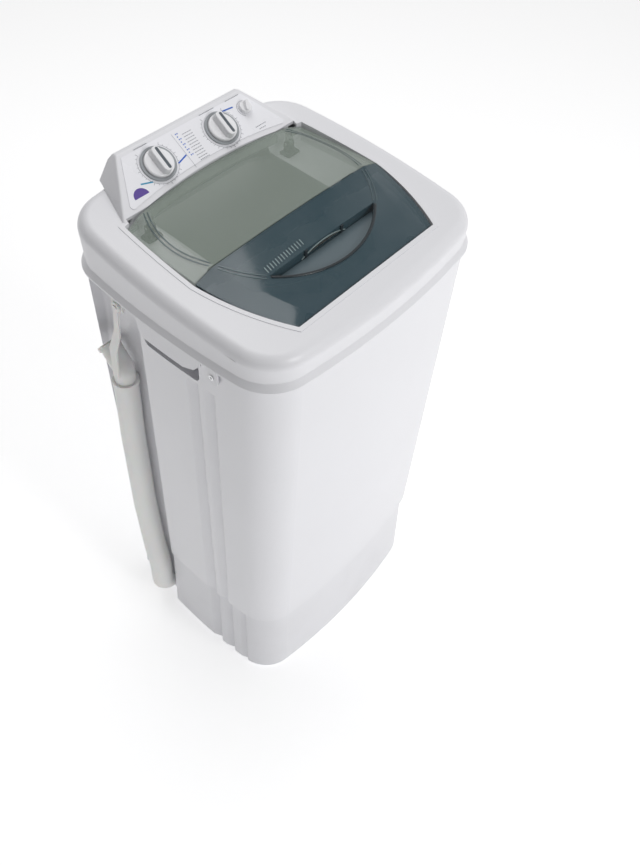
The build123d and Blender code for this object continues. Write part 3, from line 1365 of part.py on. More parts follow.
CAPACITOR_SPOT = (-60.0, -104.0)
CAPACITOR_R = 17.0
with BuildPart() as capacitor:
    with BuildSketch(Plane.XY.offset(62)):
        with Locations(CAPACITOR_SPOT):
            Circle(CAPACITOR_R)
    extrude(amount=70)
    fillet(capacitor.edges().group_by(Axis.Z)[-1], 2)
save(capacitor.part, "capacitor")
with BuildPart() as capacitor_clamp:
    with BuildSketch(Plane.XY.offset(100)):
        with Locations(CAPACITOR_SPOT):
            Circle(CAPACITOR_R + FIT + 2)
            Circle(CAPACITOR_R + FIT, mode=Mode.SUBTRACT)
    extrude(amount=14)
    with BuildSketch(Plane.XY.offset(100)):
        with Locations((CAPACITOR_SPOT[0] + CAPACITOR_R + FIT + 1.2, CAPACITOR_SPOT[1])):
            Rectangle(2, 14)
    extrude(amount=CHASSIS_Z - FIT - 100)
save(capacitor_clamp.part, "capacitor_clamp")

# ---------------------------------------------------------------- chassis plate
CHASSIS_HALF_W, CHASSIS_HALF_D = 176.0, 150.0
with BuildPart() as chassis_plate:
    with BuildSketch(Plane.XY.offset(CHASSIS_Z + FIT / 2)):
        RectangleRounded(2 * CHASSIS_HALF_W, 2 * CHASSIS_HALF_D, 40)
        Circle(HOUSING_R + FIT, mode=Mode.SUBTRACT)
        with Locations((DRAIN_X, ELBOW_Y)):
            Circle(NOZZLE_R + 2, mode=Mode.SUBTRACT)
        with Locations(*motor_bolt_spots, *housing_bolt_spots):
            Circle(3.4, mode=Mode.SUBTRACT)
        with Locations((0, 105), (0, -105)):
            SlotOverall(90, 30, mode=Mode.SUBTRACT)
    extrude(amount=CHASSIS_T - FIT / 2)
save(chassis_plate.part, "chassis_plate")

# ---------------------------------------------------------------- drain and hose
SPIGOT_R = HOSE_R - HOSE_WALL - FIT
HOSE_FOOT_Z = 59.0
ELBOW_BODY_R = 18.6
OUTLET_TILT = 45.0       # degrees from the vertical, towards the back
hose_spine = Plane.YZ.offset(HOSE_X)
elbow_spine = Plane.XZ.offset(-ELBOW_Y)


def rod_along(plane, points, bend, radius):
    """A round rod along a path of straight runs and round bends."""
    with BuildPart() as rod:
        with BuildLine(plane) as path:
            FilletPolyline(*points, radius=bend)
        with BuildSketch(Plane(origin=path.line @ 0, z_dir=path.line % 0)):
            Circle(radius)
        sweep()
    return rod.part


hose_points = ((ELBOW_Y, HOSE_FOOT_Z), (ELBOW_Y, 100), (86, 150), (99, 260), (107, 430),
               (107, HOSE_TOP_Z))
with BuildPart() as drain_hose:
    add(rod_along(hose_spine, hose_points, 140, HOSE_R))
    add(rod_along(hose_spine, hose_points, 140, HOSE_R - HOSE_WALL), mode=Mode.SUBTRACT)
save(drain_hose.part, "drain_hose")

elbow_points = ((HOSE_X, HOSE_FOOT_Z + 20), (HOSE_X, ELBOW_Z), (DRAIN_X - 40, ELBOW_Z))
body_points = ((HOSE_X, HOSE_FOOT_Z - FIT), (HOSE_X, ELBOW_Z),
               (HOSE_X + ELBOW_BEND_R + 0.1, ELBOW_Z))
with BuildPart() as hose_elbow:
    add(rod_along(elbow_spine, elbow_points, ELBOW_BEND_R, SPIGOT_R))
    add(rod_along(elbow_spine, body_points, ELBOW_BEND_R, ELBOW_BODY_R))
    add(rod_along(elbow_spine, elbow_points, ELBOW_BEND_R, NOZZLE_BORE), mode=Mode.SUBTRACT)
save(hose_elbow.part, "hose_elbow")

drain_points = ((DRAIN_X - 52, ELBOW_Z), (DRAIN_X, ELBOW_Z), (DRAIN_X, TUB_Z - 8))
with BuildPart() as drain_pipe:
    add(rod_along(elbow_spine, drain_points, 32, NOZZLE_BORE - FIT))
    add(rod_along(elbow_spine, drain_points, 32, NOZZLE_BORE - FIT - 2), mode=Mode.SUBTRACT)
save(drain_pipe.part, "drain_pipe")

FITTING_TURN_Z = 588.0
STUB_L = 44.0
COLLAR_R = 20.0
hose_top_y = hose_points[-1][0]
tilt = radians(OUTLET_TILT)
stub_end = (hose_top_y + STUB_L * sin(tilt), FITTING_TURN_Z + STUB_L * cos(tilt))
stub_points = ((hose_top_y, HOSE_TOP_Z - 16), (hose_top_y, FITTING_TURN_Z), stub_end)
stub_plane = Plane(origin=(HOSE_X, *stub_end), x_dir=(1, 0, 0), z_dir=(0, sin(tilt), cos(tilt)))
STRAP_X = -226.5
PEG_Y, PEG_Z = 85.0, 737.0
PEG_R = 3.5
with BuildPart() as hose_outlet:
    add(rod_along(hose_spine, stub_points, 22, SPIGOT_R))
    with BuildSketch(Plane.XY.offset(HOSE_TOP_Z + FIT)):
        with Locations((HOSE_X, hose_top_y)):
            Circle(COLLAR_R)
    extrude(amount=9)
    with BuildSketch(stub_plane.offset(-7)):
        Circle(SPIGOT_R + 2.4)
    extrude(amount=7)
    # strap that hangs the outlet from its peg
    with BuildSketch(Plane.YZ.offset(STRAP_X)):
        with BuildLine():
            Polyline((PEG_Y - 5, PEG_Z), (PEG_Y + 5, PEG_Z), (PEG_Y + 9, 690), (112, 640),
                     (112, 584), (100, 584), (97, 640), (PEG_Y - 1, 680), close=True)
        make_face()
        with Locations((PEG_Y, PEG_Z)):
            Circle(8)
            Circle(PEG_R + FIT, mode=Mode.SUBTRACT)
    extrude(amount=3)
    add(rod_along(hose_spine, stub_points, 22, NOZZLE_BORE), mode=Mode.SUBTRACT)
save(hose_outlet.part, "hose_outlet")

with BuildPart() as hose_peg:
    with BuildSketch(Plane.YZ.offset(STRAP_X + 3.4)):
        with Locations((PEG_Y, (PEG_Z + LIP_Z) / 2 - 4)):
            RectangleRounded(22, LIP_Z - PEG_Z + 12, 5)
    extrude(amount=4)
    with BuildSketch(Plane.YZ.offset(STRAP_X - 1.5)):
        with Locations((PEG_Y, PEG_Z)):
            Circle(PEG_R)
    extrude(amount=5.5)
save(hose_peg.part, "hose_peg")
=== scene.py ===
"""Finishes, printed marks and small mouldings for a single-tub washing machine."""
import json
from math import atan2, cos, hypot, radians, sin

import bmesh
import bpy
from bpy.props import FloatProperty, FloatVectorProperty, PointerProperty
from mathutils import Matrix, Vector
from mathutils.bvhtree import BVHTree


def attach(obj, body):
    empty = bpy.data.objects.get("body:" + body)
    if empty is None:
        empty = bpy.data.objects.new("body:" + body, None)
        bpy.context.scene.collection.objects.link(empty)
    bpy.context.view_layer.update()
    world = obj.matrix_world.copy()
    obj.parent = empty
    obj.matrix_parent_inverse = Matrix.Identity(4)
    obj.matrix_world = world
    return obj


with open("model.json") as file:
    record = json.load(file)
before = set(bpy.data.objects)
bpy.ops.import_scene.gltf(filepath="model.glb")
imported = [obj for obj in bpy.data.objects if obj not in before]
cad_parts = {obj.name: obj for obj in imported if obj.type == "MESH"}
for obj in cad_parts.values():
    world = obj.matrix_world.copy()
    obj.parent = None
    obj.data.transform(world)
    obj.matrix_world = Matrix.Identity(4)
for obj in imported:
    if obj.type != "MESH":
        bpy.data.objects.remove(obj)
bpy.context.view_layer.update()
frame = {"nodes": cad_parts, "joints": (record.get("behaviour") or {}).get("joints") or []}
JOINTS = {joint["name"]: joint for joint in frame["joints"]}

bl_info = {
    "name": "Washing machine finishes",
    "version": (1, 0, 0),
    "blender": (4, 5, 0),
    "location": "View3D > Sidebar > Washer",
    "description": "Finishes, dial markings and lid details of a single-tub washing machine",
    "category": "Object",
}

MM = 0.001

# Places on the sloping console face, across and up it, in millimetres
DIALS = ((-74.0, 45.0), (49.0, 45.0))
SELECTOR = (105.0, 55.0)

# The console face itself, from the timer's axis, which stands square to it
TIMER_U, TIMER_V = DIALS[0]
FACE_NORMAL = -Vector(JOINTS["timer_turn"]["axis"]).normalized()
FACE_ACROSS = Vector((1, 0, 0))
FACE_UP = FACE_NORMAL.cross(FACE_ACROSS)
FACE_ORIGIN = (Vector(JOINTS["timer_turn"]["pos_m"])
               - FACE_ACROSS * TIMER_U * MM - FACE_UP * TIMER_V * MM)
FILM = 1.0              # the fascia stands this far off the face, mm
PRINT_H = 0.12          # thickness of the printed marks, mm

# The lid, from its fold axis
FOLD_Y, FOLD_Z = (value / MM for value in JOINTS["lid_fold"]["pos_m"][1:])
KNUCKLE_X = (-133.0, -38.0, 38.0, 133.0)
RING_CENTRE_Y = 33.0
RECESS_R = 157.0
RECESS_WALL_Y = -84.0   # the recess's straight wall faces the user here
SKIN_Z = 820.8          # the panel's skin above that wall


# ------------------------------------------------------------------ sizes and colours
class WasherSizes(bpy.types.PropertyGroup):
    ring_width: FloatProperty(name="Lid ring width", default=1.5, min=0.2,
                              description="Width of each raised line on the lid, in millimetres")
    ring_gap: FloatProperty(name="Lid ring gap", default=5.0, min=1.0,
                            description="Distance between the two raised lines, in millimetres")
    tick_length: FloatProperty(name="Dial tick length", default=2.4, min=0.5,
                               description="Length of the printed ticks, in millimetres")
    rib_pitch: FloatProperty(name="Grip rib pitch", default=5.4, min=3.0,
                             description="Spacing of the pale ribs by the recess, in millimetres")
    floor_half: FloatProperty(name="Floor half width", default=9.0, unit="LENGTH",
                              description="Half the width of the studio floor")


def colour_prop(name, value, about):
    return FloatVectorProperty(name=name, subtype="COLOR", size=4, min=0, max=1,
                               default=(*value, 1), description=about)


class WasherColours(bpy.types.PropertyGroup):
    shell: colour_prop("Shell", (0.83, 0.83, 0.86), "Moulded white of the cabinet")
    base: colour_prop("Base", (0.80, 0.80, 0.83), "Moulded white of the base")
    film: colour_prop("Console film", (0.92, 0.92, 0.96), "Printed film on the console")
    front_smoke: colour_prop("Front panel", (0.022, 0.068, 0.092), "Smoke tint of the front panel")
    rear_smoke: colour_prop("Rear panel", (0.40, 0.47, 0.41), "Smoke tint of the rear panel")
    hose: colour_prop("Hose", (0.93, 0.93, 0.91), "Soft white of the drain hose")
    blue: colour_prop("Blue ink", (0.01, 0.12, 0.55), "Blue printed marks")
    teal: colour_prop("Teal ink", (0.02, 0.30, 0.50), "Teal printed marks")
    violet: colour_prop("Violet ink", (0.10, 0.05, 0.33), "Violet printed badge")
    grey_ink: colour_prop("Grey ink", (0.16, 0.17, 0.20), "Grey printed marks")


# ------------------------------------------------------------------ shared shader groups
def group_sockets(tree, inputs, outputs):
    for name, kind, value in inputs:
        socket = tree.interface.new_socket(name=name, in_out="INPUT", socket_type=kind)
        socket.default_value = value
    for name, kind in outputs:
        tree.interface.new_socket(name=name, in_out="OUTPUT", socket_type=kind)


class Graph:
    """Short hand for adding nodes to one tree and joining them."""

    def __init__(self, tree):
        self.tree = tree

    def node(self, kind, **values):
        made = self.tree.nodes.new(kind)
        for key, value in values.items():
            setattr(made, key, value)
        return made

    def link(self, source, target):
        self.tree.links.new(source, target)

    def noise(self, coords, scale, detail=3.0, roughness=0.5):
        made = self.node("ShaderNodeTexNoise")
        made.inputs["Scale"].default_value = scale
        made.inputs["Detail"].default_value = detail
        made.inputs["Roughness"].default_value = roughness
        self.link(coords, made.inputs["Vector"])
        return made.outputs["Fac"]

    def maths(self, operation, first, second, clamp=False):
        made = self.node("ShaderNodeMath", operation=operation)
        made.use_clamp = clamp
        for socket, value in zip(made.inputs, (first, second)):
            if isinstance(value, (int, float)):
                socket.default_value = value
            else:
                self.link(value, socket)
        return made.outputs[0]

    def mix(self, factor, first, second, blend="MIX"):
        made = self.node("ShaderNodeMix", data_type="RGBA", blend_type=blend)
        for name, value in (("Factor", factor), ("A", first), ("B", second)):
            socket = next(s for s in made.inputs if s.name == name and s.enabled)
            if isinstance(value, (int, float, tuple)):
                socket.default_value = value
            else:
                self.link(value, socket)
        return next(s for s in made.outputs if s.enabled)

    def ramp(self, factor, low, high):
        made = self.node("ShaderNodeMapRange")
        self.link(factor, made.inputs["Value"])
        made.inputs["From Min"].default_value = low
        made.inputs["From Max"].default_value = high
        return made.outputs["Result"]


def moulded_skin_group():
    """Moulded plastic: slow tone drift, fine grain, faint rubbed patches and low scuffs."""
    tree = bpy.data.node_groups.new("moulded_skin", "ShaderNodeTree")
    group_sockets(tree, [("Colour", "NodeSocketColor", (0.8, 0.8, 0.8, 1)),
                         ("Drift", "NodeSocketFloat", 0.05),
                         ("Grain Scale", "NodeSocketFloat", 700.0),
                         ("Gloss Low", "NodeSocketFloat", 0.28),
                         ("Gloss High", "NodeSocketFloat", 0.42),
                         ("Scuffs", "NodeSocketFloat", 0.1)],
                  [("Colour", "NodeSocketColor"), ("Roughness", "NodeSocketFloat"),
                   ("Height", "NodeSocketFloat")])
    g = Graph(tree)
    given, out = g.node("NodeGroupInput"), g.node("NodeGroupOutput")
    coords = g.node("ShaderNodeTexCoord").outputs["Object"]
    drift = g.noise(coords, 2.6, 4.0)
    patches = g.noise(coords, 11.0, 5.0, 0.6)
    speck = g.noise(coords, 190.0, 2.0)
    grain = g.node("ShaderNodeTexNoise")
    grain.inputs["Detail"].default_value = 1.0
    g.link(coords, grain.inputs["Vector"])
    g.link(given.outputs["Grain Scale"], grain.inputs["Scale"])
    amount = g.maths("MULTIPLY", g.ramp(drift, 0.35, 0.7), given.outputs["Drift"])
    shade = g.mix(amount, given.outputs["Colour"], (0.45, 0.44, 0.42, 1))
    height = g.node("ShaderNodeSeparateXYZ")
    g.link(coords, height.inputs[0])
    low_down = g.ramp(height.outputs["Z"], 0.20, 0.0)
    scuff = g.maths("MULTIPLY", g.maths("MULTIPLY", low_down, g.ramp(patches, 0.48, 0.75)),
                    given.outputs["Scuffs"])
    dirt = g.maths("ADD", scuff, g.maths("MULTIPLY", g.ramp(speck, 0.72, 0.85),
                                         given.outputs["Scuffs"]), True)
    g.link(g.mix(dirt, shade, (0.22, 0.20, 0.18, 1)), out.inputs["Colour"])
    spread = g.maths("SUBTRACT", given.outputs["Gloss High"], given.outputs["Gloss Low"])
    rough = g.maths("ADD", given.outputs["Gloss Low"], g.maths("MULTIPLY", patches, spread))
    g.link(rough, out.inputs["Roughness"])
    g.link(g.maths("ADD", g.maths("MULTIPLY", grain.outputs["Fac"], 0.35),
                   g.maths("MULTIPLY", patches, 0.65)), out.inputs["Height"])
    return tree


def metal_skin_group():
    """Drawn or cast metal: streaks along one axis, stain and pits."""
    tree = bpy.data.node_groups.new("metal_skin", "ShaderNodeTree")
    group_sockets(tree, [("Colour", "NodeSocketColor", (0.6, 0.6, 0.6, 1)),
                         ("Stain", "NodeSocketColor", (0.25, 0.2, 0.15, 1)),
                         ("Stain Amount", "NodeSocketFloat", 0.3),
                         ("Streak", "NodeSocketVector", (60.0, 60.0, 1200.0))],
                  [("Colour", "NodeSocketColor"), ("Roughness", "NodeSocketFloat"),
                   ("Height", "NodeSocketFloat")])
    g = Graph(tree)
    given, out = g.node("NodeGroupInput"), g.node("NodeGroupOutput")
    coords = g.node("ShaderNodeTexCoord").outputs["Object"]
    stretch = g.node("ShaderNodeVectorMath", operation="MULTIPLY")
    g.link(coords, stretch.inputs[0])
    g.link(given.outputs["Streak"], stretch.inputs[1])
    streaks = g.noise(stretch.outputs[0], 1.0, 3.0, 0.6)
    stain = g.noise(coords, 34.0, 6.0, 0.65)
    amount = g.maths("MULTIPLY", g.ramp(stain, 0.5, 0.78), given.outputs["Stain Amount"])
    tone = g.mix(g.maths("MULTIPLY", streaks, 0.22), given.outputs["Colour"],
                 (0.95, 0.95, 0.95, 1))
    g.link(g.mix(amount, tone, given.outputs["Stain"]), out.inputs["Colour"])
    g.link(g.maths("ADD", g.maths("MULTIPLY", streaks, 0.25),
                   g.maths("MULTIPLY", stain, 0.3)), out.inputs["Roughness"])
    g.link(g.maths("ADD", streaks, g.maths("MULTIPLY", stain, 0.6)), out.inputs["Height"])
    return tree


def fine_scratch_group():
    """Clear plastic: hair scratches and wiped smears that change only the gloss."""
    tree = bpy.data.node_groups.new("fine_scratches", "ShaderNodeTree")
    group_sockets(tree, [("Colour", "NodeSocketColor", (0.1, 0.1, 0.1, 1)),
                         ("Haze", "NodeSocketFloat", 0.08),
                         ("Opacity", "NodeSocketFloat", 0.8)],
                  [("Colour", "NodeSocketColor"), ("Roughness", "NodeSocketFloat"),
                   ("Opacity", "NodeSocketFloat")])
    g = Graph(tree)
    given, out = g.node("NodeGroupInput"), g.node("NodeGroupOutput")
    coords = g.node("ShaderNodeTexCoord").outputs["Object"]
    smear = g.noise(coords, 7.0, 4.0, 0.6)
    turned = g.node("ShaderNodeMapping")
    turned.inputs["Rotation"].default_value = (0, 0, radians(31))
    turned.inputs["Scale"].default_value = (900, 14, 14)
    g.link(coords, turned.inputs["Vector"])
    hair = g.ramp(g.noise(turned.outputs[0], 1.0, 2.0), 0.68, 0.8)
    haze = g.maths("MULTIPLY", g.ramp(smear, 0.4, 0.75), given.outputs["Haze"])
    g.link(g.mix(haze, given.outputs["Colour"], (0.5, 0.53, 0.53, 1)), out.inputs["Colour"])
    g.link(g.maths("ADD", g.maths("ADD", 0.05, g.maths("MULTIPLY", smear, 0.07)),
                   g.maths("MULTIPLY", hair, 0.12)), out.inputs["Roughness"])
    g.link(g.maths("ADD", given.outputs["Opacity"], g.maths("MULTIPLY", smear, 0.05), True),
           out.inputs["Opacity"])
    return tree


GROUPS = {}


def shared_groups():
    if not GROUPS:
        GROUPS.update(moulded=moulded_skin_group(), metal=metal_skin_group(),
                      clear=fine_scratch_group())
    return GROUPS


# ------------------------------------------------------------------ materials
def new_material(name, colour):
    material = bpy.data.materials.new(name)
    material.use_nodes = True
    material.diffuse_color = tuple(colour)
    shader = material.node_tree.nodes["Principled BSDF"]
    return material, Graph(material.node_tree), shader


def place_group(g, tree, values):
    placed = g.node("ShaderNodeGroup")
    placed.node_tree = tree
    for name, value in values.items():
        placed.inputs[name].default_value = value
    return placed


def bump(g, height, shader, strength, distance):
    made = g.node("ShaderNodeBump")
    made.inputs["Strength"].default_value = strength
    made.inputs["Distance"].default_value = distance
    g.link(height, made.inputs["Height"])
    g.link(made.outputs[0], shader.inputs["Normal"])


def plastic(name, colour, gloss=(0.28, 0.42), drift=0.05, scuffs=0.1, grain=700.0,
            relief=0.00006, coat=0.0, subsurface=0.0):
    """Moulded plastic or rubber."""
    colour = tuple(colour) if len(colour) == 4 else (*colour, 1)
    material, g, shader = new_material(name, colour)
    skin = place_group(g, shared_groups()["moulded"], {
        "Colour": colour, "Drift": drift, "Grain Scale": grain,
        "Gloss Low": gloss[0], "Gloss High": gloss[1], "Scuffs": scuffs})
    g.link(skin.outputs["Colour"], shader.inputs["Base Color"])
    g.link(skin.outputs["Roughness"], shader.inputs["Roughness"])
    shader.inputs["Coat Weight"].default_value = coat
    shader.inputs["Coat Roughness"].default_value = 0.12
    if subsurface:
        shader.inputs["Subsurface Weight"].default_value = subsurface
        shader.inputs["Subsurface Scale"].default_value = 0.003
    bump(g, skin.outputs["Height"], shader, 0.5, relief)
    return material


def metal(name, colour, stain=(0.2, 0.16, 0.12, 1), amount=0.25, streak=(60, 60, 900),
          relief=0.00004, metallic=1.0):
    colour = (*colour, 1)
    material, g, shader = new_material(name, colour)
    skin = place_group(g, shared_groups()["metal"], {
        "Colour": colour, "Stain": stain, "Stain Amount": amount, "Streak": streak})
    g.link(skin.outputs["Colour"], shader.inputs["Base Color"])
    g.link(skin.outputs["Roughness"], shader.inputs["Roughness"])
    shader.inputs["Metallic"].default_value = metallic
    bump(g, skin.outputs["Height"], shader, 0.4, relief)
    return material


def smoked(name, colour, opacity, haze):
    """Clear smoked plastic, seen through as well as shining."""
    colour = tuple(colour)
    material, g, shader = new_material(name, colour)
    skin = place_group(g, shared_groups()["clear"], {
        "Colour": colour, "Haze": haze, "Opacity": opacity})
    g.link(skin.outputs["Colour"], shader.inputs["Base Color"])
    g.link(skin.outputs["Roughness"], shader.inputs["Roughness"])
    g.link(skin.outputs["Opacity"], shader.inputs["Alpha"])
    shader.inputs["IOR"].default_value = 1.5
    shader.inputs["Coat Weight"].default_value = 0.35
    shader.inputs["Coat Roughness"].default_value = 0.05
    return material


def ink(name, colour):
    return plastic(name, colour, gloss=(0.35, 0.5), drift=0.12, scuffs=0.0, grain=2600.0,
                   relief=0.00001)


def dress(node, material):
    """Puts one material on a carried-over node."""
    mesh = frame["nodes"][node].data
    mesh.materials.clear()
    mesh.materials.append(material)


def mesh_weave(name, colour):
    """Fine knitted mesh of the lint bag."""
    material, g, shader = new_material(name, (*colour, 1))
    coords = g.node("ShaderNodeTexCoord").outputs["Object"]
    waves = []
    for direction in ("Y", "Z"):
        wave = g.node("ShaderNodeTexWave", bands_direction=direction)
        wave.inputs["Scale"].default_value = 160.0
        g.link(coords, wave.inputs["Vector"])
        waves.append(wave.outputs["Fac"])
    weave = g.maths("MAXIMUM", waves[0], waves[1])
    g.link(g.mix(weave, (0.25, 0.27, 0.28, 1), (*colour, 1)), shader.inputs["Base Color"])
    g.link(g.maths("ADD", g.maths("MULTIPLY", weave, 0.2), 0.6), shader.inputs["Roughness"])
    bump(g, weave, shader, 0.6, 0.0004)
    return material


class WASHER_OT_finishes(bpy.types.Operator):
    """Gives every carried-over part its material."""
    bl_idname = "washer.finishes"
    bl_label = "Part finishes"

    def execute(self, context):
        tint = context.scene.washer_colours
        shell = plastic("shell_white", tint.shell, coat=0.12)
        deck = plastic("deck_white", tint.shell, gloss=(0.30, 0.46), coat=0.08, scuffs=0.02)
        base = plastic("base_white", tint.base, scuffs=0.07, drift=0.06)
        film = plastic("console_film", tint.film, gloss=(0.22, 0.34), scuffs=0.0, grain=1800.0)
        knob = plastic("knob_white", (0.88, 0.88, 0.90), gloss=(0.2, 0.32), scuffs=0.03, coat=0.3)
        ring = plastic("ring_grey", (0.34, 0.36, 0.38), gloss=(0.25, 0.4), scuffs=0.0)
        pad = plastic("pad_dark", (0.10, 0.12, 0.14), gloss=(0.45, 0.6), scuffs=0.0)
        dark = plastic("hinge_black", (0.018, 0.022, 0.022), gloss=(0.35, 0.55), scuffs=0.05)
        tub = plastic("tub_white", (0.86, 0.88, 0.87), gloss=(0.18, 0.3), scuffs=0.05, coat=0.2)
        agitator = plastic("agitator_blue_white", (0.58, 0.66, 0.70), gloss=(0.2, 0.35),
                           scuffs=0.05, coat=0.2)
        hose = plastic("hose_soft_white", tint.hose, gloss=(0.38, 0.52), drift=0.10,
                       scuffs=0.16, subsurface=0.15)
        rubber = plastic("black_rubber", (0.016, 0.016, 0.016), gloss=(0.62, 0.8), scuffs=0.35)
        filter_frame = plastic("filter_frame_blue", (0.30, 0.46, 0.56), gloss=(0.3, 0.45))
        capacitor = plastic("capacitor_sleeve", (0.70, 0.70, 0.66), gloss=(0.3, 0.4))
        paint = plastic("motor_paint", (0.04, 0.045, 0.05), gloss=(0.35, 0.5), scuffs=0.3)
        bright = metal("bright_steel", (0.62, 0.63, 0.64))
        sheet = metal("zinc_sheet", (0.50, 0.52, 0.52), amount=0.35, streak=(26, 26, 26),
                      relief=0.0001)
        cast = metal("cast_alloy", (0.48, 0.49, 0.50), amount=0.4, streak=(420, 420, 420),
                     relief=0.00012)
        bronze = metal("sintered_bronze", (0.48, 0.30, 0.13), streak=(500, 500, 500))
        front = smoked("front_panel_smoke", tint.front_smoke, 0.62, 0.10)
        rear = smoked("rear_panel_smoke", tint.rear_smoke, 0.34, 0.10)
        wardrobe = {
            shell: ["cabinet_body", "service_cover"],
            deck: ["top_frame", "console_housing", "console_back_cover"],
            base: ["base_skirt", "bottom_guard"],
            film: ["console_fascia"],
            knob: ["timer_knob", "program_knob", "selector_knob"],
            ring: ["timer_ring", "program_ring"],
            pad: ["timer_pad", "program_pad"],
            dark: ["hinge_brackets", "timer_case", "program_case", "selector_case"],
            tub: ["wash_tub"],
            agitator: ["pulsator", "pulsator_cap"],
            hose: ["drain_hose", "hose_elbow", "hose_outlet", "hose_peg", "drain_pipe"],
            rubber: ["rubber_feet", "lid_buffers", "cord_gland", "shaft_seal", "drive_belt",
                     "motor_bushes"],
            filter_frame: ["filter_frame"],
            mesh_weave("lint_mesh", (0.66, 0.70, 0.72)): ["filter_bag"],
            capacitor: ["capacitor"],
            paint: ["motor_can"],
            bright: ["fold_rod", "rear_hinge_pins", "foot_screws", "cover_screws",
                     "frame_screws", "timer_spindle", "program_spindle", "pulsator_screw",
                     "drive_shaft", "rotor_shaft", "pulley_collar", "housing_bolts",
                     "motor_bolts", "capacitor_clamp"],
            sheet: ["chassis_plate"],
            cast: ["bearing_housing", "large_pulley", "motor_pulley", "motor_upper_shield",
                   "motor_lower_shield"],
            bronze: ["bearing_bushes"],
            front: ["lid_front_panel"],
            rear: ["lid_rear_panel"],
        }
        for material, nodes in wardrobe.items():
            for node in nodes:
                dress(node, material)
        bare = [node for node, part in frame["nodes"].items()
                if not part.data.materials or part.data.materials[0] not in wardrobe]
        if bare:
            raise RuntimeError(f"no finish for {bare}")
        return {"FINISHED"}


# ------------------------------------------------------------------ shapes
def finish_piece(bm, name, material, body, smooth=False):
    """Turns a bmesh into a piece that rides on a body."""
    bmesh.ops.remove_doubles(bm, verts=bm.verts, dist=0.000001)
    bmesh.ops.recalc_face_normals(bm, faces=bm.faces)
    for face in bm.faces:
        face.smooth = smooth
    mesh = bpy.data.meshes.new(name)
    bm.to_mesh(mesh)
    bm.free()
    mesh.materials.append(material)
    piece = bpy.data.objects.new(name, mesh)
    bpy.context.scene.collection.objects.link(piece)
    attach(piece, body)
    return piece


def bar(bm, start, end, width, low, high):
    """A straight raised bar between two points, in millimetres."""
    made = bmesh.ops.create_cube(bm, size=1)["verts"]
    length = hypot(end[0] - start[0], end[1] - start[1])
    turn = atan2(end[1] - start[1], end[0] - start[0])
    middle = Vector(((start[0] + end[0]) / 2, (start[1] + end[1]) / 2, (low + high) / 2))
    bmesh.ops.scale(bm, vec=(length, width, high - low), verts=made)
    bmesh.ops.rotate(bm, cent=(0, 0, 0), matrix=Matrix.Rotation(turn, 3, "Z"), verts=made)
    bmesh.ops.translate(bm, vec=middle, verts=made)


def disc(bm, centre, radius, low, high, segments=32):
    made = bmesh.ops.create_cone(bm, cap_ends=True, segments=segments, radius1=radius,
                                 radius2=radius, depth=high - low)["verts"]
    bmesh.ops.translate(bm, vec=(centre[0], centre[1], (low + high) / 2), verts=made)


def arc_band(bm, centre, radius, width, low, high, start, sweep, steps):
    """A curved band of rectangular section, from start through sweep degrees."""
    corners = [bm.verts.new((radius + across * width / 2, 0, level))
               for across, level in ((-1, low), (1, low), (1, high), (-1, high))]
    face = bm.faces.new(corners)
    whole = abs(sweep) >= 360
    bmesh.ops.rotate(bm, cent=(0, 0, 0), matrix=Matrix.Rotation(radians(start), 3, "Z"),
                     verts=corners)
    before = set(bm.verts)
    spun = bmesh.ops.spin(bm, geom=[face, *face.edges, *corners], cent=(0, 0, 0),
                          axis=(0, 0, 1), angle=radians(sweep), steps=steps,
                          use_merge=whole, use_normal_flip=False, use_duplicate=False)
    if whole and spun["geom_last"]:
        last = [item for item in spun["geom_last"] if isinstance(item, bmesh.types.BMFace)]
        bmesh.ops.delete(bm, geom=[f for f in last if f.is_valid], context="FACES_ONLY")
    fresh = [v for v in bm.verts if v not in before] + [v for v in corners if v.is_valid]
    bmesh.ops.translate(bm, vec=(centre[0], centre[1], 0), verts=list(set(fresh)))


def onto_face(bm):
    """Takes marks drawn flat, in millimetres, to the console's sloping face."""
    place = Matrix((FACE_ACROSS, FACE_UP, FACE_NORMAL)).transposed().to_4x4()
    place.translation = FACE_ORIGIN
    bmesh.ops.transform(bm, matrix=place @ Matrix.Scale(MM, 4), verts=bm.verts)


FILM_TOP = FILM + 0.02
INK_TOP = FILM_TOP + PRINT_H
SCALE_R = 31.0          # where the ticks start
SCALE_START, SCALE_SWEEP = 128, 284
TICK_GAPS = 24


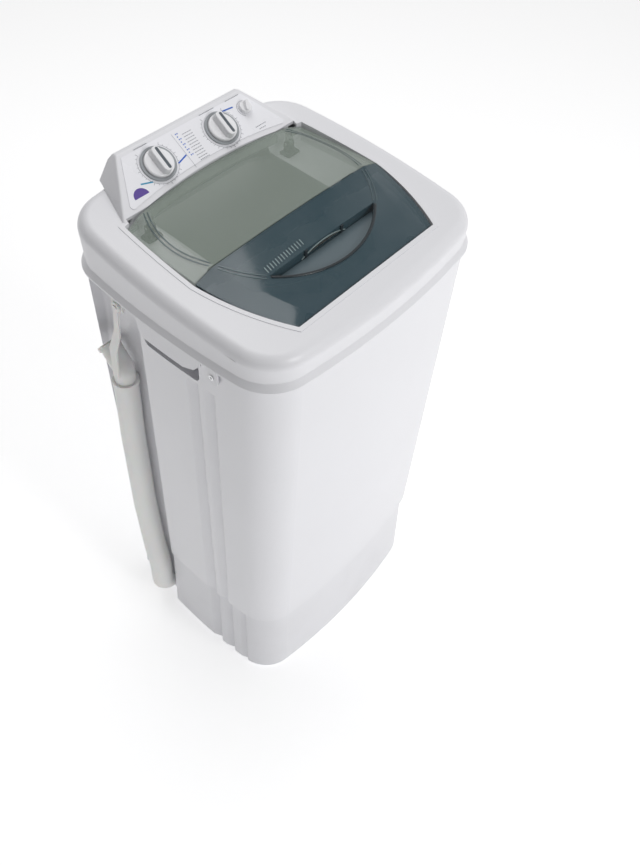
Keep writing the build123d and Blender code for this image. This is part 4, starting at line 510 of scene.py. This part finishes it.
class WASHER_OT_dial_print(bpy.types.Operator):
    """Scales, ticks and plain marks printed on the console film."""
    bl_idname = "washer.dial_print"
    bl_label = "Console print"

    def execute(self, context):
        sizes, tint = context.scene.washer_sizes, context.scene.washer_colours
        grey = ink("ink_grey", tint.grey_ink)
        bm = bmesh.new()
        for u, v in DIALS:
            arc_band(bm, (u, v), 30.6, 0.45, FILM_TOP, INK_TOP, SCALE_START, SCALE_SWEEP, 60)
            for step in range(TICK_GAPS + 1):
                angle = radians(SCALE_START + step * SCALE_SWEEP / TICK_GAPS)
                outer_r = SCALE_R + sizes.tick_length * (1.5 if step % 4 == 0 else 0.8)
                bar(bm, (u + SCALE_R * cos(angle), v + SCALE_R * sin(angle)),
                    (u + outer_r * cos(angle), v + outer_r * sin(angle)), 0.45, FILM_TOP,
                    INK_TOP)
        arc_band(bm, SELECTOR, 12.6, 0.4, FILM_TOP, INK_TOP, 40, 200, 30)
        onto_face(bm)
        finish_piece(bm, "print_dial_scales", grey, "cabinet")

        # short dashes stand for the lines of words
        bm = bmesh.new()
        lines = (((-92, 79), (-68, 79)), ((31, 78), (61, 78)), ((84, 78), (112, 78)),
                 ((-13, 20), (5, 20)), ((100, 21), (122, 21)), ((104, 16), (118, 16)))
        for (u0, v0), (u1, v1) in lines:
            steps = int((u1 - u0) / 3.0)
            for step in range(steps):
                left = u0 + step * (u1 - u0) / steps
                bar(bm, (left, v0), (left + 1.9, v1), 1.1, FILM_TOP, INK_TOP)
        for row in range(10):
            v = 24 + row * 4.6
            for column in range(4):
                left = -14 + column * 4.4 + row * 0.2
                bar(bm, (left, v), (left + 3.2, v), 0.8, FILM_TOP, INK_TOP)
        bar(bm, (-27.5, 73), (-26.5, 14), 0.35, FILM_TOP, INK_TOP)
        onto_face(bm)
        finish_piece(bm, "print_dash_lines", grey, "cabinet")

        blue = ink("ink_blue", tint.blue)
        bm = bmesh.new()
        bar(bm, (-46.5, 31.5), (-27.7, 36.6), 2.2, FILM_TOP, INK_TOP)
        bar(bm, (68.7, 66.9), (88.9, 64.9), 2.2, FILM_TOP, INK_TOP)
        for row in range(9):
            disc(bm, (-21.5 + row * 0.1, 70 - row * 4.6), 1.0, FILM_TOP, INK_TOP, 12)
            if row % 2 == 0:
                disc(bm, (-18.6 + row * 0.1, 70 - row * 4.6), 1.0, FILM_TOP, INK_TOP, 12)
        onto_face(bm)
        finish_piece(bm, "print_blue_marks", blue, "cabinet")

        bm = bmesh.new()
        bar(bm, (-116, 32), (-98, 26.5), 2.2, FILM_TOP, INK_TOP)
        onto_face(bm)
        finish_piece(bm, "print_teal_mark", ink("ink_teal", tint.teal), "cabinet")

        # plain half-round badge
        bm = bmesh.new()
        disc(bm, (-125, 16.5), 12.5, FILM_TOP, INK_TOP, 48)
        cut = bm.verts[:] + bm.edges[:] + bm.faces[:]
        kept = bmesh.ops.bisect_plane(bm, geom=cut, plane_co=(0, 16.5, 0),
                                      plane_no=(0, -1, 0), clear_outer=True)
        edges = [item for item in kept["geom_cut"] if isinstance(item, bmesh.types.BMEdge)]
        bmesh.ops.holes_fill(bm, edges=edges, sides=0)
        onto_face(bm)
        finish_piece(bm, "print_half_badge", ink("ink_violet", tint.violet), "cabinet")
        return {"FINISHED"}


def lid_surface(node):
    """Finds the top of a lid panel under a point, in millimetres."""
    bm = bmesh.new()
    bm.from_mesh(frame["nodes"][node].data)
    tree = BVHTree.FromBMesh(bm)
    bm.free()

    def height(x, y):
        hit = tree.ray_cast(Vector((x * MM, y * MM, 1.2)), Vector((0, 0, -1)))[0]
        return hit.z / MM if hit else None
    return height


def drape(bm, height):
    """Sets a band that was drawn at height zero down on the lid's skin."""
    for vert in bm.verts:
        x, y, z = vert.co
        top = height(x, y)
        if top is None:
            raise RuntimeError(f"no lid under {x:.1f}, {y:.1f}")
        vert.co.z = top + z
    bmesh.ops.scale(bm, vec=(MM, MM, MM), verts=bm.verts)


class WASHER_OT_lid_rings(bpy.types.Operator):
    """The pair of raised lines that run round both lid panels."""
    bl_idname = "washer.lid_rings"
    bl_label = "Lid rings"

    def execute(self, context):
        sizes, tint = context.scene.washer_sizes, context.scene.washer_colours
        line = plastic("ring_line", (0.075, 0.11, 0.12), gloss=(0.08, 0.16), scuffs=0.0)
        centre = (0, RING_CENTRE_Y)
        spans = {
            "lid_front_panel": ("front_lid", ((-47, 22.5), (204.5, 22.5))),
            "lid_rear_panel": ("rear_lid", ((-20.5, 50), (150.5, 50))),
        }
        for node, (body, arcs) in spans.items():
            bm = bmesh.new()
            for start, sweep in arcs:
                for grow in (0.0, sizes.ring_gap):
                    arc_band(bm, centre, RECESS_R + grow, sizes.ring_width, 0.03, 0.55,
                             start, sweep, 34)
            drape(bm, lid_surface(node))
            finish_piece(bm, f"{body}_ring_lines", line, body)
        return {"FINISHED"}


class WASHER_OT_recess(bpy.types.Operator):
    """The half-moon hand recess: its floor in a blue-grey tone painted as a reflection, its edge
    band painted as shade, its slot with a painted highlight, and grip ribs.
    """
    bl_idname = "washer.recess"
    bl_label = "Hand recess"

    def execute(self, context):
        height = lid_surface("lid_front_panel")
        # painted reflection: the opaque blue-grey floor is lighter than the smoked panel and
        # stands for the smooth dish reflecting the ceiling
        painted_reflection = plastic("recess_floor_painted_reflection", (0.105, 0.145, 0.165), gloss=(0.16, 0.28), scuffs=0.0)
        bm = bmesh.new()
        made = bmesh.ops.create_circle(bm, cap_ends=True, segments=220, radius=RECESS_R - 1.2)
        bmesh.ops.translate(bm, vec=(0, RING_CENTRE_Y, 0), verts=made["verts"])
        bmesh.ops.bisect_plane(bm, geom=bm.verts[:] + bm.edges[:] + bm.faces[:],
                               plane_co=(0, -85.4, 0), plane_no=(0, 1, 0), clear_outer=True)
        for y in (-90, -96, -102, -108, -114, -120):
            bmesh.ops.bisect_plane(bm, geom=bm.verts[:] + bm.edges[:] + bm.faces[:],
                                   plane_co=(0, y, 0), plane_no=(0, 1, 0))
        grown = bmesh.ops.extrude_face_region(bm, geom=bm.faces[:])
        lifted = [item for item in grown["geom"] if isinstance(item, bmesh.types.BMVert)]
        bmesh.ops.translate(bm, vec=(0, 0, 0.5), verts=lifted)
        floor = height(0, -100)
        fall = (height(0, -115) - height(0, -90)) / -25
        for vert in bm.verts:
            vert.co.z += floor + fall * (vert.co.y + 100) + 0.15
        bmesh.ops.scale(bm, vec=(MM, MM, MM), verts=bm.verts)
        finish_piece(bm, "recess_floor", painted_reflection, "front_lid")

        # painted shade: the near-black band along the arc stands for the shadowed side of the
        # recess's lip; the same near-black also colours the slot's posts
        dark = plastic("recess_edge_shade_and_post_dark", (0.012, 0.02, 0.026), gloss=(0.1, 0.2), scuffs=0.0)
        bm = bmesh.new()
        arc_band(bm, (0, RING_CENTRE_Y), RECESS_R + 2.2, 3.2, 0.02, 1.0, 229, 82, 90)
        drape(bm, height)
        finish_piece(bm, "recess_edge_painted_shade", dark, "front_lid", True)

        # the slot's two posts, then a light arc painted as the highlight on its arched edge, all
        # on the straight wall
        bm = bmesh.new()
        for x in (-36.0, 36.0):
            bar(bm, (x - 2.4, RECESS_WALL_Y - 0.9), (x + 2.4, RECESS_WALL_Y - 0.9), 1.6,
                SKIN_Z - 12.6, SKIN_Z - 0.6)
        bmesh.ops.scale(bm, vec=(MM, MM, MM), verts=bm.verts)
        finish_piece(bm, "slot_posts", dark, "front_lid")
        # painted highlight: the light arc on the slot's edge stands for a glint; the same colour
        # also serves the grip ribs
        ribs_and_highlight = plastic("grip_ribs_and_lip_highlight", (0.34, 0.42, 0.42), gloss=(0.2, 0.34), scuffs=0.0)
        bm = bmesh.new()
        radius = 105.6      # of the slot's arched top
        arc_band(bm, (0, 0), radius, 1.1, -0.5, 0.5, 114.5, -49, 36)
        bmesh.ops.rotate(bm, cent=(0, 0, 0), matrix=Matrix.Rotation(radians(90), 3, "X"),
                         verts=bm.verts)
        bmesh.ops.translate(bm, vec=(0, RECESS_WALL_Y - 0.62, SKIN_Z - 2.8 - radius),
                            verts=bm.verts)
        bmesh.ops.scale(bm, vec=(MM, MM, MM), verts=bm.verts)
        finish_piece(bm, "slot_painted_highlight", ribs_and_highlight, "front_lid")

        # row of fine grip ribs beside the slot
        pitch = context.scene.washer_sizes.rib_pitch
        bm = bmesh.new()
        start_x, row_length = -102, 80
        for step in range(int(row_length / pitch)):
            x = start_x + step * pitch
            for part in range(3):
                y = RECESS_WALL_Y + 4.0 + part * 3.0 + 0.05 * (x - start_x)
                bar(bm, (x + part * 0.5, y), (x + (part + 1) * 0.5, y + 3.0), 1.0, 0.03, 0.5)
        drape(bm, height)
        finish_piece(bm, "grip_ribs", ribs_and_highlight, "front_lid")
        return {"FINISHED"}


class WASHER_OT_hinge_shrouds(bpy.types.Operator):
    """Dark shrouds over the fold's knuckles, seen through the smoked panels."""
    bl_idname = "washer.hinge_shrouds"
    bl_label = "Hinge shrouds"

    def execute(self, context):
        dark = plastic("shroud_black", (0.014, 0.018, 0.018), gloss=(0.35, 0.5), scuffs=0.03)
        for body, side in (("front_lid", -1), ("rear_lid", 1)):
            bm = bmesh.new()
            middle = FOLD_Y + side * 9.4
            for x in KNUCKLE_X:
                made = bmesh.ops.create_cube(bm, size=1)["verts"]
                bmesh.ops.scale(bm, vec=(25, 11.6, 9), verts=made)
                bmesh.ops.translate(bm, vec=(x, middle, FOLD_Z + 10.5), verts=made)
            bmesh.ops.bevel(bm, geom=bm.edges[:], offset=1.6, segments=3, affect="EDGES",
                            profile=0.5)
            bmesh.ops.scale(bm, vec=(MM, MM, MM), verts=bm.verts)
            finish_piece(bm, f"{body}_hinge_shrouds", dark, body, True)
        return {"FINISHED"}


class WASHER_OT_stage(bpy.types.Operator):
    """Studio floor, soft lights and the camera."""
    bl_idname = "washer.stage"
    bl_label = "Stage"

    def execute(self, context):
        scene = context.scene
        half = scene.washer_sizes.floor_half
        bm = bmesh.new()
        bmesh.ops.create_grid(bm, x_segments=2, y_segments=2, size=half)
        mesh = bpy.data.meshes.new("studio_floor")
        bm.to_mesh(mesh)
        bm.free()
        floor = bpy.data.objects.new("studio_floor", mesh)
        scene.collection.objects.link(floor)
        floor.location.z = -0.0005
        material, _, shader = new_material("floor_white", (0.9, 0.9, 0.9, 1))
        shader.inputs["Base Color"].default_value = (0.94, 0.94, 0.945, 1)
        shader.inputs["Roughness"].default_value = 0.85
        shader.inputs["Emission Color"].default_value = (1, 1, 1, 1)
        shader.inputs["Emission Strength"].default_value = 0.42
        mesh.materials.append(material)

        world = bpy.data.worlds.new("studio")
        world.use_nodes = True
        sky = Graph(world.node_tree)
        split = sky.node("ShaderNodeSeparateXYZ")
        sky.link(sky.node("ShaderNodeTexCoord").outputs["Generated"], split.inputs[0])
        side = sky.ramp(split.outputs["X"], -1.0, 1.0)
        strength = sky.maths("ADD", sky.maths("MULTIPLY", side, 0.60), 0.07)
        sky.link(strength, world.node_tree.nodes["Background"].inputs["Strength"])
        world.node_tree.nodes["Background"].inputs["Color"].default_value = (1, 1, 1, 1)
        scene.world = world
        lights = (("key", (0.2, -2.9, 2.2), (0, 0, 0.45), 1.2, 30),
                  ("top", (0.3, 0.8, 3.2), (0, 0, 0.8), 2.0, 25))
        for name, place, aim, size, power in lights:
            lamp = bpy.data.lights.new(name, "AREA")
            lamp.shape = "DISK"
            lamp.size = size
            lamp.energy = power
            light = bpy.data.objects.new(name, lamp)
            scene.collection.objects.link(light)
            light.location = place
            light.rotation_euler = (Vector(aim) - Vector(place)).to_track_quat(
                "-Z", "Y").to_euler()

        lens = bpy.data.cameras.new("camera")
        lens.sensor_fit = "HORIZONTAL"
        lens.sensor_width = 36.0
        lens.lens = 53.30
        lens.shift_x = 0.109
        lens.shift_y = -0.2695
        camera = bpy.data.objects.new("camera", lens)
        scene.collection.objects.link(camera)
        azimuth, fall, roll = radians(45.631), radians(40.969), radians(-0.451)
        forward = Vector((sin(azimuth) * cos(fall), cos(azimuth) * cos(fall), -sin(fall)))
        right = forward.cross(Vector((0, 0, 1))).normalized()
        up = right.cross(forward)
        across = right * cos(roll) + up * sin(roll)
        over = up * cos(roll) - right * sin(roll)
        turn = Matrix((across, over, -forward)).transposed()
        camera.matrix_world = Matrix.Translation((-0.7555, -0.6872, 1.6165)) @ turn.to_4x4()
        scene.camera = camera
        scene.view_settings.view_transform = "Standard"
        return {"FINISHED"}


STEPS = (WASHER_OT_finishes, WASHER_OT_dial_print, WASHER_OT_lid_rings, WASHER_OT_recess,
         WASHER_OT_hinge_shrouds, WASHER_OT_stage)


class WASHER_PT_panel(bpy.types.Panel):
    """Lists the steps that build the washing machine's looks."""
    bl_idname = "WASHER_PT_panel"
    bl_label = "Washer"
    bl_space_type = "VIEW_3D"
    bl_region_type = "UI"
    bl_category = "Washer"

    def draw(self, context):
        for step in STEPS:
            self.layout.operator(step.bl_idname)
        for group in (context.scene.washer_sizes, context.scene.washer_colours):
            for key in group.bl_rna.properties.keys():
                if key not in ("rna_type", "name"):
                    self.layout.prop(group, key)


CLASSES = (WasherSizes, WasherColours, *STEPS, WASHER_PT_panel)


def register():
    for entry in CLASSES:
        bpy.utils.register_class(entry)
    bpy.types.Scene.washer_sizes = PointerProperty(type=WasherSizes)
    bpy.types.Scene.washer_colours = PointerProperty(type=WasherColours)


def unregister():
    del bpy.types.Scene.washer_colours
    del bpy.types.Scene.washer_sizes
    for entry in reversed(CLASSES):
        bpy.utils.unregister_class(entry)


def main():
    register()
    for step in STEPS:
        family, name = step.bl_idname.split(".")
        getattr(getattr(bpy.ops, family), name)()


if __name__ == "__main__":
    main()
